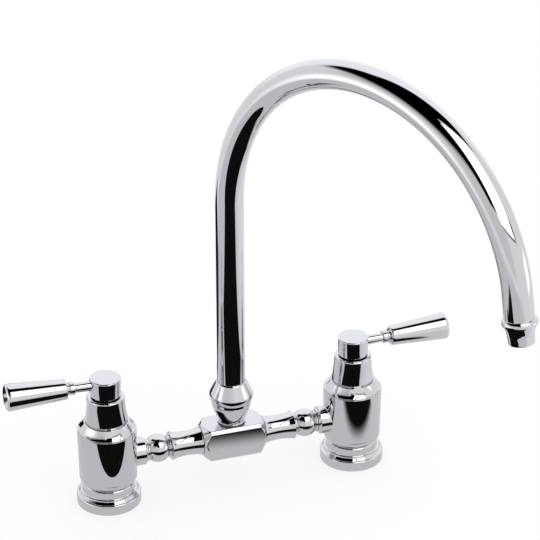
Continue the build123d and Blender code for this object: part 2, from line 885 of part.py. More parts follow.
def aerator_insert():
    """Plastic aerator cage: a sleeve with ribs across its mouth."""
    cage = tube(aerator_radius, aerator_radius - aerator_wall, aerator_start, aerator_end)
    rib = Box(
        2 * (aerator_radius - aerator_wall / 2),
        aerator_wall,
        aerator_rib_height,
        align=(Align.CENTER, Align.CENTER, Align.MAX),
    )
    for index in range(aerator_rib_count):
        cage += Pos(0, 0, aerator_end) * Rot(0, 0, index * 180 / aerator_rib_count) * rib
    return outlet_place() * cage


def aerator_screen():
    """Thin perforated disc that rests on the ribs of the aerator."""
    face = aerator_end - aerator_rib_height
    back = face - screen_thickness
    hole = rod(screen_hole_radius, back - EXTRA, face + EXTRA)
    screen = rod(aerator_radius - aerator_wall - seat_gap, back, face) - hole
    for ring in range(1, screen_ring_count + 1):
        count = 6 * ring
        for index in range(count):
            screen -= Rot(0, 0, index * 360 / count) * Pos(ring * screen_ring_pitch, 0, 0) * hole
    return outlet_place() * screen


# ---- all pieces -----------------------------------------------------------------------------
PIECES_OF_EACH_SIDE = {
    "base_flange": base_flange,
    "base_gasket": base_gasket,
    "column_body": column_body,
    "bonnet_cover": bonnet_cover,
    "cartridge_housing": cartridge_housing,
    "cartridge_seal": cartridge_seal,
    "fixed_disc": fixed_disc,
    "moving_disc": moving_disc,
    "valve_spindle": valve_spindle,
    "spindle_o_ring": spindle_o_ring,
    "handle_hub": handle_hub,
    "hub_grub_screw": hub_grub_screw,
    "lever_stem": lever_stem,
    "lever_ferrule": lever_ferrule,
    "lever_grip": lever_grip,
    "bridge_arm": bridge_arm,
    "arm_seals": arm_seals,
}
PIECES_OF_THE_MIDDLE = {
    "centre_block": centre_block,
    "block_washer": block_washer,
    "spout_socket": spout_socket,
    "spout_nut": spout_nut,
    "thrust_washer": thrust_washer,
    "bearing_ring": bearing_ring,
    "spout_foot": spout_foot,
    "spout_o_rings": spout_o_rings,
    "spout_tube": spout_tube,
    "spout_outlet": spout_outlet,
    "aerator_seal": aerator_seal,
    "aerator_insert": aerator_insert,
    "aerator_screen": aerator_screen,
}


def all_pieces():
    """Every piece of the faucet, by name."""
    pieces = {name: make() for name, make in PIECES_OF_THE_MIDDLE.items()}
    for side in SIDES:
        for name, make in PIECES_OF_EACH_SIDE.items():
            pieces[f"{side}_{name}"] = make(side)
    return pieces


os.makedirs("parts", exist_ok=True)
for piece_name, piece in all_pieces().items():
    export_step(piece, f"parts/{piece_name}.step")
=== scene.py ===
"""Looks of a bridge kitchen faucet: two lever columns, a turned bridge and a swan-neck spout.

Sizes are in millimetres in the classes and become metres when a mesh is made. The deck is Z = 0,
the bridge runs along X, and the user stands at -Y.
"""

import logging
import math
from collections.abc import Sequence
from dataclasses import dataclass
from enum import Enum

import bpy
import numpy as np
from mathutils import Matrix, Vector
from mathutils.bvhtree import BVHTree


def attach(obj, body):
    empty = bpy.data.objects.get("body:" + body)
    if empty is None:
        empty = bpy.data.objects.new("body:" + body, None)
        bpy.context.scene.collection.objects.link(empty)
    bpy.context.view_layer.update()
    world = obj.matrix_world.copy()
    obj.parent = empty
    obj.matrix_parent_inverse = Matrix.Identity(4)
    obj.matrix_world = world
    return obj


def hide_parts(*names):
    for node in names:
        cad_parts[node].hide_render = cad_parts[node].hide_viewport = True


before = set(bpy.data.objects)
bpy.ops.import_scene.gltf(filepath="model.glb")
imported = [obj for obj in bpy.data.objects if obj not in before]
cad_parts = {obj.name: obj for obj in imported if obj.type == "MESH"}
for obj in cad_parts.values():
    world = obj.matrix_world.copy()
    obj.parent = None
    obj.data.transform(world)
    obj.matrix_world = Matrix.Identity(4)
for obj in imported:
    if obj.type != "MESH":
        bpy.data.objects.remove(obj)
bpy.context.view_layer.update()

log = logging.getLogger("faucet")

MM = 0.001
PICTURE_PIXELS = 540               # width of the picture
QUARTER = 1 - 1 / math.sqrt(2)     # sagitta of a quarter turn of radius 1
PLAY = 0.05                        # between two pieces that sit in each other
AROUND = 144                       # parts of a turn
Pair = tuple[float, float]
Place = tuple[float, float, float]
Colour = tuple[float, float, float]
Socket = bpy.types.NodeSocket


# ---- node trees ----
class Recipe:
    """A material or world with an empty node tree, and short ways to fill it."""

    weak_noise, strong_noise = 0.3, 0.7     # nearly all of a noise lies between them

    def __init__(self, owner: bpy.types.Material | bpy.types.World) -> None:
        """Clear the owner's node tree.

        Args:
            owner: The material or world that the nodes belong to.
        """
        owner.use_nodes = True
        self.tree = owner.node_tree
        self.tree.nodes.clear()

    def add(
        self, kind: str, values: dict | None = None, output: int | str = 0, **settings: object
    ) -> Socket:
        """Add a node.

        Args:
            kind: Blender's name of the node type.
            values: Inputs by name or number: a value, or an output socket to link.
            output: Name or number of the output that is wanted.
            settings: Attributes of the node.

        Returns:
            The wanted output of the new node.
        """
        node = self.tree.nodes.new(kind)
        for name, setting in settings.items():
            setattr(node, name, setting)
        for name, value in (values or {}).items():
            if isinstance(value, Socket):
                self.tree.links.new(value, node.inputs[name])
            else:
                node.inputs[name].default_value = value
        return node.outputs[output]

    def place(self) -> Socket:
        """Position on the piece, in metres."""
        return self.add("ShaderNodeTexCoord", output="Object")

    def noise(self, scale: float, detail: float = 2.0, where: Socket | None = None) -> Socket:
        """Cloudy noise around 0.5: clouds per metre, finer layers, and where it is read."""
        values = {"Vector": where or self.place(), "Scale": scale, "Detail": detail}
        return self.add("ShaderNodeTexNoise", values, "Fac")

    def spread(self, noise: Socket, weak: float, strong: float) -> Socket:
        """Value that goes from weak to strong as a noise does."""
        values = {0: noise, 1: self.weak_noise, 2: self.strong_noise, 3: weak, 4: strong}
        return self.add("ShaderNodeMapRange", values)

    def two_colours(self, share: Socket, first: Colour, second: Colour) -> Socket:
        """Mix of two colours: the first where the share is 0, the second where it is 1."""
        values = {0: share, 6: (*first, 1.0), 7: (*second, 1.0)}
        return self.add("ShaderNodeMix", values, 2, data_type="RGBA")

    def relief(self, height: Socket, depth_mm: float, under: Socket | None = None) -> Socket:
        """Bump from a height.

        Args:
            height: The height, from 0 to 1.
            depth_mm: Depth of the relief in millimetres.
            under: Normal of a coarser relief that this one lies on.

        Returns:
            The bumped normal.
        """
        values = {"Height": height, "Distance": depth_mm * MM, "Strength": 1.0}
        if under:
            values["Normal"] = under
        return self.add("ShaderNodeBump", values, "Normal")

    def finish(self, shader: Socket, output: str = "ShaderNodeOutputMaterial") -> None:
        """Join the last shader to the output."""
        self.tree.links.new(shader, self.tree.nodes.new(output).inputs["Surface"])


# ---- finishes ----
@dataclass(frozen=True)
class Finish:
    """A surface finish: a name, and how its shader is put together."""

    name: str

    def shader(self, recipe: Recipe) -> Socket:
        """Shader of this finish, in an open recipe."""
        raise NotImplementedError

    def material(self) -> bpy.types.Material:
        """The finish as a material, made once.

        Returns:
            The material.
        """
        made = bpy.data.materials.get(self.name)
        if not made:
            made = bpy.data.materials.new(self.name)
            recipe = Recipe(made)
            recipe.finish(self.shader(recipe))
        return made


@dataclass(frozen=True)
class PolishedChrome(Finish):
    """Bright chrome plate over polished brass, with the faint waves that buffing leaves."""

    cool: Colour = (0.600, 0.612, 0.640)
    warm: Colour = (0.632, 0.640, 0.655)
    tone_scale: float = 24.0
    mirror: float = 0.012
    haze: float = 0.050
    haze_scale: float = 65.0
    wave_scale: float = 42.0
    wave_depth: float = 0.006
    buff_scale: float = 620.0
    buff_depth: float = 0.00016

    def shader(self, recipe: Recipe) -> Socket:
        """Metal whose colour, haze and evenness all vary a little over the piece.

        Args:
            recipe: The node tree to build in.

        Returns:
            The shader's output.
        """
        waves = recipe.relief(recipe.noise(self.wave_scale, detail=1.0), self.wave_depth)
        clouds = recipe.noise(self.haze_scale, detail=5.0)
        buffing = recipe.noise(self.buff_scale, detail=3.0)
        values = {
            "Base Color": recipe.two_colours(recipe.noise(self.tone_scale), self.cool, self.warm),
            "Metallic": 1.0,
            "Roughness": recipe.spread(clouds, self.mirror, self.haze),
            "Normal": recipe.relief(buffing, self.buff_depth, waves),
        }
        return recipe.add("ShaderNodeBsdfPrincipled", values)


@dataclass(frozen=True)
class TurnedMetal(Finish):
    """Plain metal straight from the lathe, with fine tool rings along one axis."""

    light: Colour = (0.80, 0.63, 0.35)
    dark: Colour = (0.66, 0.48, 0.24)
    smooth: float = 0.20
    rough: float = 0.38
    ring_scale: float = 110.0
    ring_depth: float = 0.004
    ring_wobble: float = 0.4
    cloud_scale: float = 90.0

    def shader(self, recipe: Recipe) -> Socket:
        """Metal with rings, and duller and darker clouds.

        Args:
            recipe: The node tree to build in.

        Returns:
            The shader's output.
        """
        clouds = recipe.noise(self.cloud_scale, detail=6.0)
        wave = {"Vector": recipe.place(), "Scale": self.ring_scale, "Distortion": self.ring_wobble}
        along = {"wave_type": "BANDS", "bands_direction": "Z"}
        rings = recipe.add("ShaderNodeTexWave", wave, "Fac", **along)
        values = {
            "Base Color": recipe.two_colours(clouds, self.light, self.dark),
            "Metallic": 1.0,
            "Roughness": recipe.spread(clouds, self.smooth, self.rough),
            "Normal": recipe.relief(rings, self.ring_depth),
        }
        return recipe.add("ShaderNodeBsdfPrincipled", values)


@dataclass(frozen=True)
class Moulded(Finish):
    """Rubber, plastic, fibre or ceramic: two close tones, a grain and a gloss."""

    light: Colour
    dark: Colour
    smooth: float
    rough: float
    grain_scale: float
    grain_depth: float
    stretch: Place = (1.0, 1.0, 1.0)
    depth_of_light: float = 0.0
    reach_of_light: Place = (0.002, 0.002, 0.0016)     # in metres, for red, green and blue
    grains_in_cloud: float = 8.0

    def shader(self, recipe: Recipe) -> Socket:
        """Plain dielectric with a grain in its colour, gloss and relief.

        Args:
            recipe: The node tree to build in.

        Returns:
            The shader's output.
        """
        stretched = {"Vector": recipe.place(), "Scale": self.stretch}
        where = recipe.add("ShaderNodeMapping", stretched)
        clouds = recipe.noise(self.grain_scale / self.grains_in_cloud, detail=5.0, where=where)
        grain = recipe.noise(self.grain_scale, detail=4.0, where=where)
        values = {
            "Base Color": recipe.two_colours(clouds, self.light, self.dark),
            "Roughness": recipe.spread(grain, self.smooth, self.rough),
            "Normal": recipe.relief(grain, self.grain_depth),
        }
        if self.depth_of_light:
            values["Subsurface Weight"] = self.depth_of_light
            values["Subsurface Radius"] = self.reach_of_light
        return recipe.add("ShaderNodeBsdfPrincipled", values)


class Slot(Enum):
    """The finishes of the faucet, each named after the record's slot that it fills."""

    CHROME = PolishedChrome("chrome_plate")
    BARE_BRASS = TurnedMetal("turned_brass")
    STAINLESS = TurnedMetal(
        "stainless_wire", (0.60, 0.60, 0.61), (0.46, 0.47, 0.49), 0.18, 0.34, 150.0, 0.002
    )
    RUBBER = Moulded(
        "black_rubber", (0.030, 0.030, 0.032), (0.016, 0.016, 0.018), 0.52, 0.74, 1500.0, 0.02
    )
    VALVE_CERAMIC = Moulded(
        "valve_ceramic", (0.86, 0.85, 0.82), (0.80, 0.79, 0.77), 0.08, 0.16, 4000.0, 0.001
    )
    NYLON = Moulded(
        "milky_nylon", (0.86, 0.84, 0.78), (0.80, 0.78, 0.71), 0.30, 0.42, 900.0, 0.006,
        depth_of_light=0.25,
    )
    SLIPPERY_PLASTIC = Moulded(
        "slippery_plastic", (0.93, 0.93, 0.92), (0.88, 0.88, 0.87), 0.22, 0.34, 900.0, 0.004,
        depth_of_light=0.2,
    )
    FIBRE = Moulded(
        "pressed_fibre", (0.085, 0.075, 0.070), (0.050, 0.045, 0.042), 0.55, 0.75, 2400.0, 0.02,
        stretch=(1.0, 3.0, 1.0),
    )

    @classmethod
    def dressing(cls, slot: str) -> bpy.types.Material:
        """Material for a slot of the record."""
        return cls[slot.upper()].value.material()


# ---- turned outlines ----
@dataclass(frozen=True)
class Corner:
    """A corner of a turned outline: where it is, and how the stretch that leads to it runs."""

    radius: float
    height: float
    bulge: float = 0.0       # sagitta of the stretch: hollow if positive, swollen if negative
    ease: float = 0.22       # how far back from the corner its rounding starts


@dataclass(frozen=True)
class Sample:
    """A point of an outline and the direction in which the surface faces there."""

    place: Pair
    facing: Pair


class Stretch:
    """One straight or curved stretch of an outline, walked by distance."""

    arc_step = math.radians(3.0)
    longest_step = 5.0

    def __init__(self, start: Pair, end: Pair, bulge: float) -> None:
        """Work out the stretch's line or arc.

        Args:
            start: Where it starts.
            end: Where it ends.
            bulge: Sagitta, to the left of the way if positive.
        """
        run, rise = end[0] - start[0], end[1] - start[1]
        chord = math.hypot(run, rise)
        self.start, self.bulge = start, bulge
        self.way = (run / chord, rise / chord)
        self.length = chord
        if bulge:
            half_turn = 2 * math.atan(2 * abs(bulge) / chord)
            self.curve = chord / (2 * math.sin(half_turn))
            self.turn = math.copysign(2 * half_turn, -bulge)
            self.length = self.curve * 2 * half_turn
            offset = bulge - math.copysign(self.curve, bulge)
            self.centre = (
                (start[0] + end[0]) / 2 - self.way[1] * offset,
                (start[1] + end[1]) / 2 + self.way[0] * offset,
            )
            self.first = math.atan2(start[1] - self.centre[1], start[0] - self.centre[0])

    def at(self, walked: float) -> Sample:
        """Point and facing after a walked distance.

        Args:
            walked: Distance from the start.

        Returns:
            The sample there.
        """
        if not self.bulge:
            place = (self.start[0] + self.way[0] * walked, self.start[1] + self.way[1] * walked)
            return Sample(place, (self.way[1], -self.way[0]))
        angle = self.first + self.turn * walked / self.length
        out = (math.cos(angle), math.sin(angle))
        place = (self.centre[0] + self.curve * out[0], self.centre[1] + self.curve * out[1])
        sign = math.copysign(1.0, self.turn)
        return Sample(place, (sign * out[0], sign * out[1]))

    def between(self, low: float, high: float, parts: int = 0) -> list[Sample]:
        """Samples from one walked distance to another, both ends included.

        Args:
            low: First walked distance.
            high: Last walked distance.
            parts: Number of parts, or 0 for as many as the length and the curve need.

        Returns:
            The samples in order.
        """
        count = max(1, parts or math.ceil((high - low) / self.longest_step))
        if self.bulge:
            turned = abs(self.turn) * (high - low) / self.length
            count = max(count, math.ceil(turned / self.arc_step))
        return [self.at(low + (high - low) * step / count) for step in range(count + 1)]


def crest_bulge(run: float, rise: float) -> float:
    """Bulge of an arc that runs level at its crest, from its run and its rise."""
    curve = (run**2 + rise**2) / (2 * rise)
    return math.sqrt(curve**2 - (run**2 + rise**2) / 4) - curve


def stairs(*sizes: float) -> list[Corner]:
    """Square steps of a bore, a spigot or a groove.

    Args:
        sizes: Heights and radii in turn: a height, the radius there, the next height, and so on.

    Returns:
        A corner for each pair of sizes that meet.
    """
    pairs = enumerate(zip(sizes, sizes[1:]))
    return [Corner(*(pair if index % 2 else reversed(pair))) for index, pair in pairs]


def eased(before: Sample, corner: Pair, after: Sample, steps: int = 5) -> list[Sample]:
    """Rounding of a corner between two samples, without the samples themselves.

    Args:
        before: Last sample ahead of the corner.
        corner: The sharp corner.
        after: First sample past the corner.
        steps: How many parts the rounding has.

    Returns:
        The samples of the rounding.
    """
    start = math.atan2(before.facing[1], before.facing[0])
    end = math.atan2(after.facing[1], after.facing[0])
    turn = (end - start + math.pi) % (2 * math.pi) - math.pi
    points = (before.place, corner, after.place)
    made = []
    for share in (step / steps for step in range(1, steps)):
        weights = ((1 - share) ** 2, 2 * share * (1 - share), share**2)
        place = tuple(sum(w * p[axis] for w, p in zip(weights, points)) for axis in (0, 1))
        angle = start + turn * share
        made.append(Sample(place, (math.cos(angle), math.sin(angle))))
    return made


def outline(
    corners: Sequence[Corner], closed: bool = True, parts: int = 0,
    flat_cosine: float = 0.9994, most_eased: float = 0.42,
) -> list[Sample]:
    """Walk round a turned outline, with every corner eased.

    Args:
        corners: The corners, in an order that keeps the material on the left.
        closed: Whether the last corner joins the first by a straight stretch.
        parts: Number of parts of a straight stretch, or 0 for as many as its length needs.
        flat_cosine: Cosine of the turn, about 2 degrees, below which a corner isn't eased.
        most_eased: Most that a corner's ease takes of the shorter stretch beside it.

    Returns:
        Samples along the outline; in a closed one the last doesn't repeat the first.
    """
    count = len(corners)
    last = count if closed else count - 1
    stretches = []
    for index in range(last):
        here, there = corners[index], corners[(index + 1) % count]
        bulge = there.bulge if index + 1 < count else 0.0
        stretches.append(Stretch((here.radius, here.height), (there.radius, there.height), bulge))
    trims = []
    for index, corner in enumerate(corners):
        if not closed and index in (0, count - 1):
            trims.append(0.0)
            continue
        before, after = stretches[index - 1], stretches[index % last]
        facing, next_facing = before.at(before.length).facing, after.at(0.0).facing
        smooth = facing[0] * next_facing[0] + facing[1] * next_facing[1] > flat_cosine
        room = most_eased * min(before.length, after.length)
        trims.append(0.0 if smooth else min(corner.ease, room))
    samples: list[Sample] = []
    for index, stretch in enumerate(stretches):
        following = (index + 1) % count
        walked = stretch.between(trims[index], stretch.length - trims[following], parts)
        samples += walked[1:] if samples and not trims[index] else walked
        if trims[following]:
            corner = corners[following]
            after = stretches[following % last].at(trims[following])
            samples += eased(walked[-1], (corner.radius, corner.height), after)
    if closed and not trims[0]:
        samples.pop()
    return samples


# ---- shells ----
@dataclass
class Shell:
    """A mesh in the making: points, the way the surface faces at each, and faces."""

    points: np.ndarray
    facings: np.ndarray
    faces: list[tuple[int, ...]]

    def placed(self, place: Matrix) -> "Shell":
        """The same shell, moved in millimetres without scale."""
        move, turn = np.array(place)[:3, 3], np.array(place)[:3, :3]
        return Shell(self.points @ turn.T + move, self.facings @ turn.T, self.faces)

    def mesh(self, name: str) -> bpy.types.Mesh:
        """The shell as a Blender mesh in metres, shaded by its own facings.

        Args:
            name: Name of the mesh.

        Returns:
            The mesh.
        """
        mesh = bpy.data.meshes.new(name)
        mesh.from_pydata((self.points * MM).tolist(), [], self.faces)
        mesh.validate()
        shade(mesh, self.facings)
        return mesh


def shade(mesh: bpy.types.Mesh, facings: np.ndarray) -> None:
    """Shade a mesh smoothly with given facings.

    Args:
        mesh: The mesh.
        facings: Facing of each of its points.
    """
    mesh.polygons.foreach_set("use_smooth", [True] * len(mesh.polygons))
    mesh.normals_split_custom_set_from_vertices(facings.tolist())
    mesh.update()


def grid_faces(rows: int, around: int, capped: bool) -> list[tuple[int, ...]]:
    """Faces of a grid of rows that each close round.

    Args:
        rows: Number of rows.
        around: Number of points in a row.
        capped: Whether the first and last rows end in fans round the two points that follow the
            grid, instead of joining each other.

    Returns:
        The faces, outside first.
    """
    faces = []
    for row in range(rows - 1 if capped else rows):
        low, high = row * around, (row + 1) % rows * around
        for column in range(around):
            right = (column + 1) % around
            faces.append((low + column, low + right, high + right, high + column))
    if capped:
        start, pole = (rows - 1) * around, rows * around
        for column in range(around):
            right = (column + 1) % around
            faces.append((column, pole, right))
            faces.append((start + column, start + right, pole + 1))
    return faces


def spin(samples: Sequence[Sample], around: int = AROUND) -> Shell:
    """Turn an outline about Z.

    Args:
        samples: The outline; one that starts and ends on the axis makes a solid without a bore.
        around: Number of parts that the turn is divided into.

    Returns:
        The turned shell.
    """
    angles = np.arange(around) * (2 * math.pi / around)
    cosines, sines = np.cos(angles), np.sin(angles)
    solid = samples[0].place[0] == 0
    inner = samples[1:-1] if solid else samples

    def ring(pairs: Sequence[Pair]) -> np.ndarray:
        """Turn radius and height pairs into points round the axis."""
        radii, heights = (np.array(pairs)[:, part, None] for part in (0, 1))
        return np.stack([radii * cosines, radii * sines, heights + 0 * sines], 2).reshape(-1, 3)

    points = ring([sample.place for sample in inner])
    ways = ring([sample.facing for sample in inner])
    if solid:
        first, top = samples[0].place[1], samples[-1].place[1]
        sense = math.copysign(1.0, top - first)
        points = np.vstack([points, [[0, 0, first], [0, 0, top]]])
        ways = np.vstack([ways, [[0, 0, -sense], [0, 0, sense]]])
    return Shell(points, ways, grid_faces(len(inner), around, solid))


def facings_from(mesh: bpy.types.Mesh, shells: Sequence[Shell]) -> np.ndarray:
    """Facing of each point of a mesh, read from the nearest of some shells.

    Args:
        mesh: The mesh.
        shells: The shells that it was made from, in millimetres.

    Returns:
        One facing for each point.
    """
    same_gap, no_gap = 1e-7, 1e-9
    trees = [BVHTree.FromPolygons((shell.points * MM).tolist(), shell.faces) for shell in shells]
    facings = np.zeros((len(mesh.vertices), 3))
    for point in mesh.vertices:
        best = None
        for shell, tree in zip(shells, trees):
            near, _, face, gap = tree.find_nearest(point.co)
            if near is not None and (best is None or gap < best[0] - same_gap):
                best = (gap, shell, face, near)
        _, shell, face, near = best
        corners = list(shell.faces[face])
        away = np.linalg.norm(shell.points[corners] * MM - np.array(near), axis=1)
        blend = (shell.facings[corners] / (away + no_gap)[:, None]).sum(0)
        facings[point.index] = blend / np.linalg.norm(blend)
    return facings


def put_in_scene(name: str, data: bpy.types.ID) -> bpy.types.Object:
    """Make an object and link it to the scene.

    Args:
        name: Name of the object.
        data: Its mesh or camera.

    Returns:
        The object.
    """
    made = bpy.data.objects.new(name, data)
    bpy.context.scene.collection.objects.link(made)
    return made


def joined(name: str, shells: Sequence[Shell]) -> bpy.types.Mesh:
    """Union of two closed shells, shaded as the shells are.

    Args:
        name: Name of the mesh.
        shells: The shells to join.

    Returns:
        The joined mesh.
    """
    parts = [put_in_scene(f"{name}_part", shell.mesh(f"{name}_part")) for shell in shells]
    union = parts[0].modifiers.new("union", "BOOLEAN")
    union.operation, union.solver, union.object = "UNION", "EXACT", parts[1]
    graph = bpy.context.evaluated_depsgraph_get()
    mesh = bpy.data.meshes.new_from_object(parts[0].evaluated_get(graph))
    mesh.name = name
    for part in parts:
        bpy.data.objects.remove(part)
    shade(mesh, facings_from(mesh, shells))
    return mesh


def show(mesh: bpy.types.Mesh, body: str, name: str, node: str) -> None:
    """Put a chromed piece in the scene, on its body, in place of its node.

    Args:
        mesh: The piece's mesh, in the frame's metres.
        body: The body that carries it.
        name: Name of the piece.
        node: The node that it stands for.
    """
    slot = "chrome"
    piece = put_in_scene(name, mesh)
    mesh.materials.clear()
    mesh.materials.append(Slot.dressing(slot))
    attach(piece, body)
    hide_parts(node)
    log.info("%s: %d points on %s", name, len(mesh.vertices), body)


def show_turned(
    samples: Sequence[Sample], body: str, name: str, node: str,
    place: Matrix = Matrix(), around: int = AROUND,
) -> None:
    """Turn an outline into a piece at its place, and show it."""
    show(spin(samples, around).placed(place).mesh(name), body, name, node)


# ---- places ----
class Side(Enum):
    """The two sides of the bridge, as the sign of their X."""

    LEFT = -1
    RIGHT = 1

    def name_of(self, piece: str) -> str:
        """Name of a piece on this side."""
        return f"{self.name.lower()}_{piece}"


@dataclass(frozen=True)
class Layout:
    """Where the columns, the bridge and the levers are."""

    inlet_spacing: float = 203.0
    bridge_height: float = 38.7
    lever_height: float = 105.2
    lever_rise_deg: float = 1.4

    def at_column(self, side: Side) -> Matrix:
        """Place for pieces on a column's axis."""
        return Matrix.Translation((side.value * self.inlet_spacing / 2, 0, 0))

    def along_bridge(self, side: Side) -> Matrix:
        """Place where Z points from the middle of the bridge out to one side."""
        turn = Matrix.Rotation(side.value * math.pi / 2, 4, "Y")
        return Matrix.Translation((0, 0, self.bridge_height)) @ turn

    def along_lever(self, side: Side) -> Matrix:
        """Place where Z points along a lever, out from its column and slightly up."""
        turn = Matrix.Rotation(side.value * math.radians(90 - self.lever_rise_deg), 4, "Y")
        return self.at_column(side) @ Matrix.Translation((0, 0, self.lever_height)) @ turn


LAYOUT = Layout()


# ---- base flange ----
@dataclass(frozen=True)
class BaseFlange:
    """Spun flange: tall band with a rounded edge, a step, and an upright neck."""

    band_radius: float = 25.4
    band_height: float = 7.1
    edge_round: float = 1.5
    slope_rise: float = 1.85
    step_radius: float = 22.1
    step_rise: float = 0.75
    ledge: float = 0.45
    neck_foot_radius: float = 20.6
    neck_radius: float = 20.35
    neck_edge: float = 0.8           # height of its turned top edge
    neck_edge_width: float = 0.752
    height: float = 18.0
    bore_radius: float = 13.73
    wall: float = 2.2
    around: int = 192

    def section(self) -> list[Sample]:
        """Outline of the flange, from the inside of its foot outwards.

        Returns:
            Its samples.
        """
        inside, ceiling = self.band_radius - self.wall, self.height - self.wall
        round_top = self.band_height + self.edge_round
        step_low = round_top + self.slope_rise
        step_top = step_low + self.step_rise
        cove = self.step_radius - self.ledge - self.neck_foot_radius
        return outline([
            Corner(inside, 0.0),
            Corner(self.band_radius, 0.0, ease=0.5),
            Corner(self.band_radius, self.band_height),
            Corner(self.band_radius - self.edge_round, round_top, -self.edge_round * QUARTER),
            Corner(self.step_radius, step_low, ease=0.3),
            Corner(self.step_radius, step_top, ease=0.3),
            Corner(self.step_radius - self.ledge, step_top, ease=0.1),
            Corner(self.neck_foot_radius, step_top + cove, cove * QUARTER),
            Corner(self.neck_radius, self.height - self.neck_edge, ease=0.15),
            Corner(self.neck_radius - self.neck_edge_width, self.height, ease=0.1),
            *stairs(self.height, self.bore_radius, ceiling),
            Corner(self.neck_radius - self.wall, ceiling, ease=0.8),
            Corner(self.step_radius - self.wall, self.band_height, ease=0.8),
            Corner(inside, self.band_height - self.wall, ease=0.8),
        ])

    def build(self, side: Side) -> None:
        """Make the flange of one side."""
        names, place = ("flange", "base_flange"), LAYOUT.at_column(side)
        show_turned(self.section(), "base", *map(side.name_of, names), place, self.around)


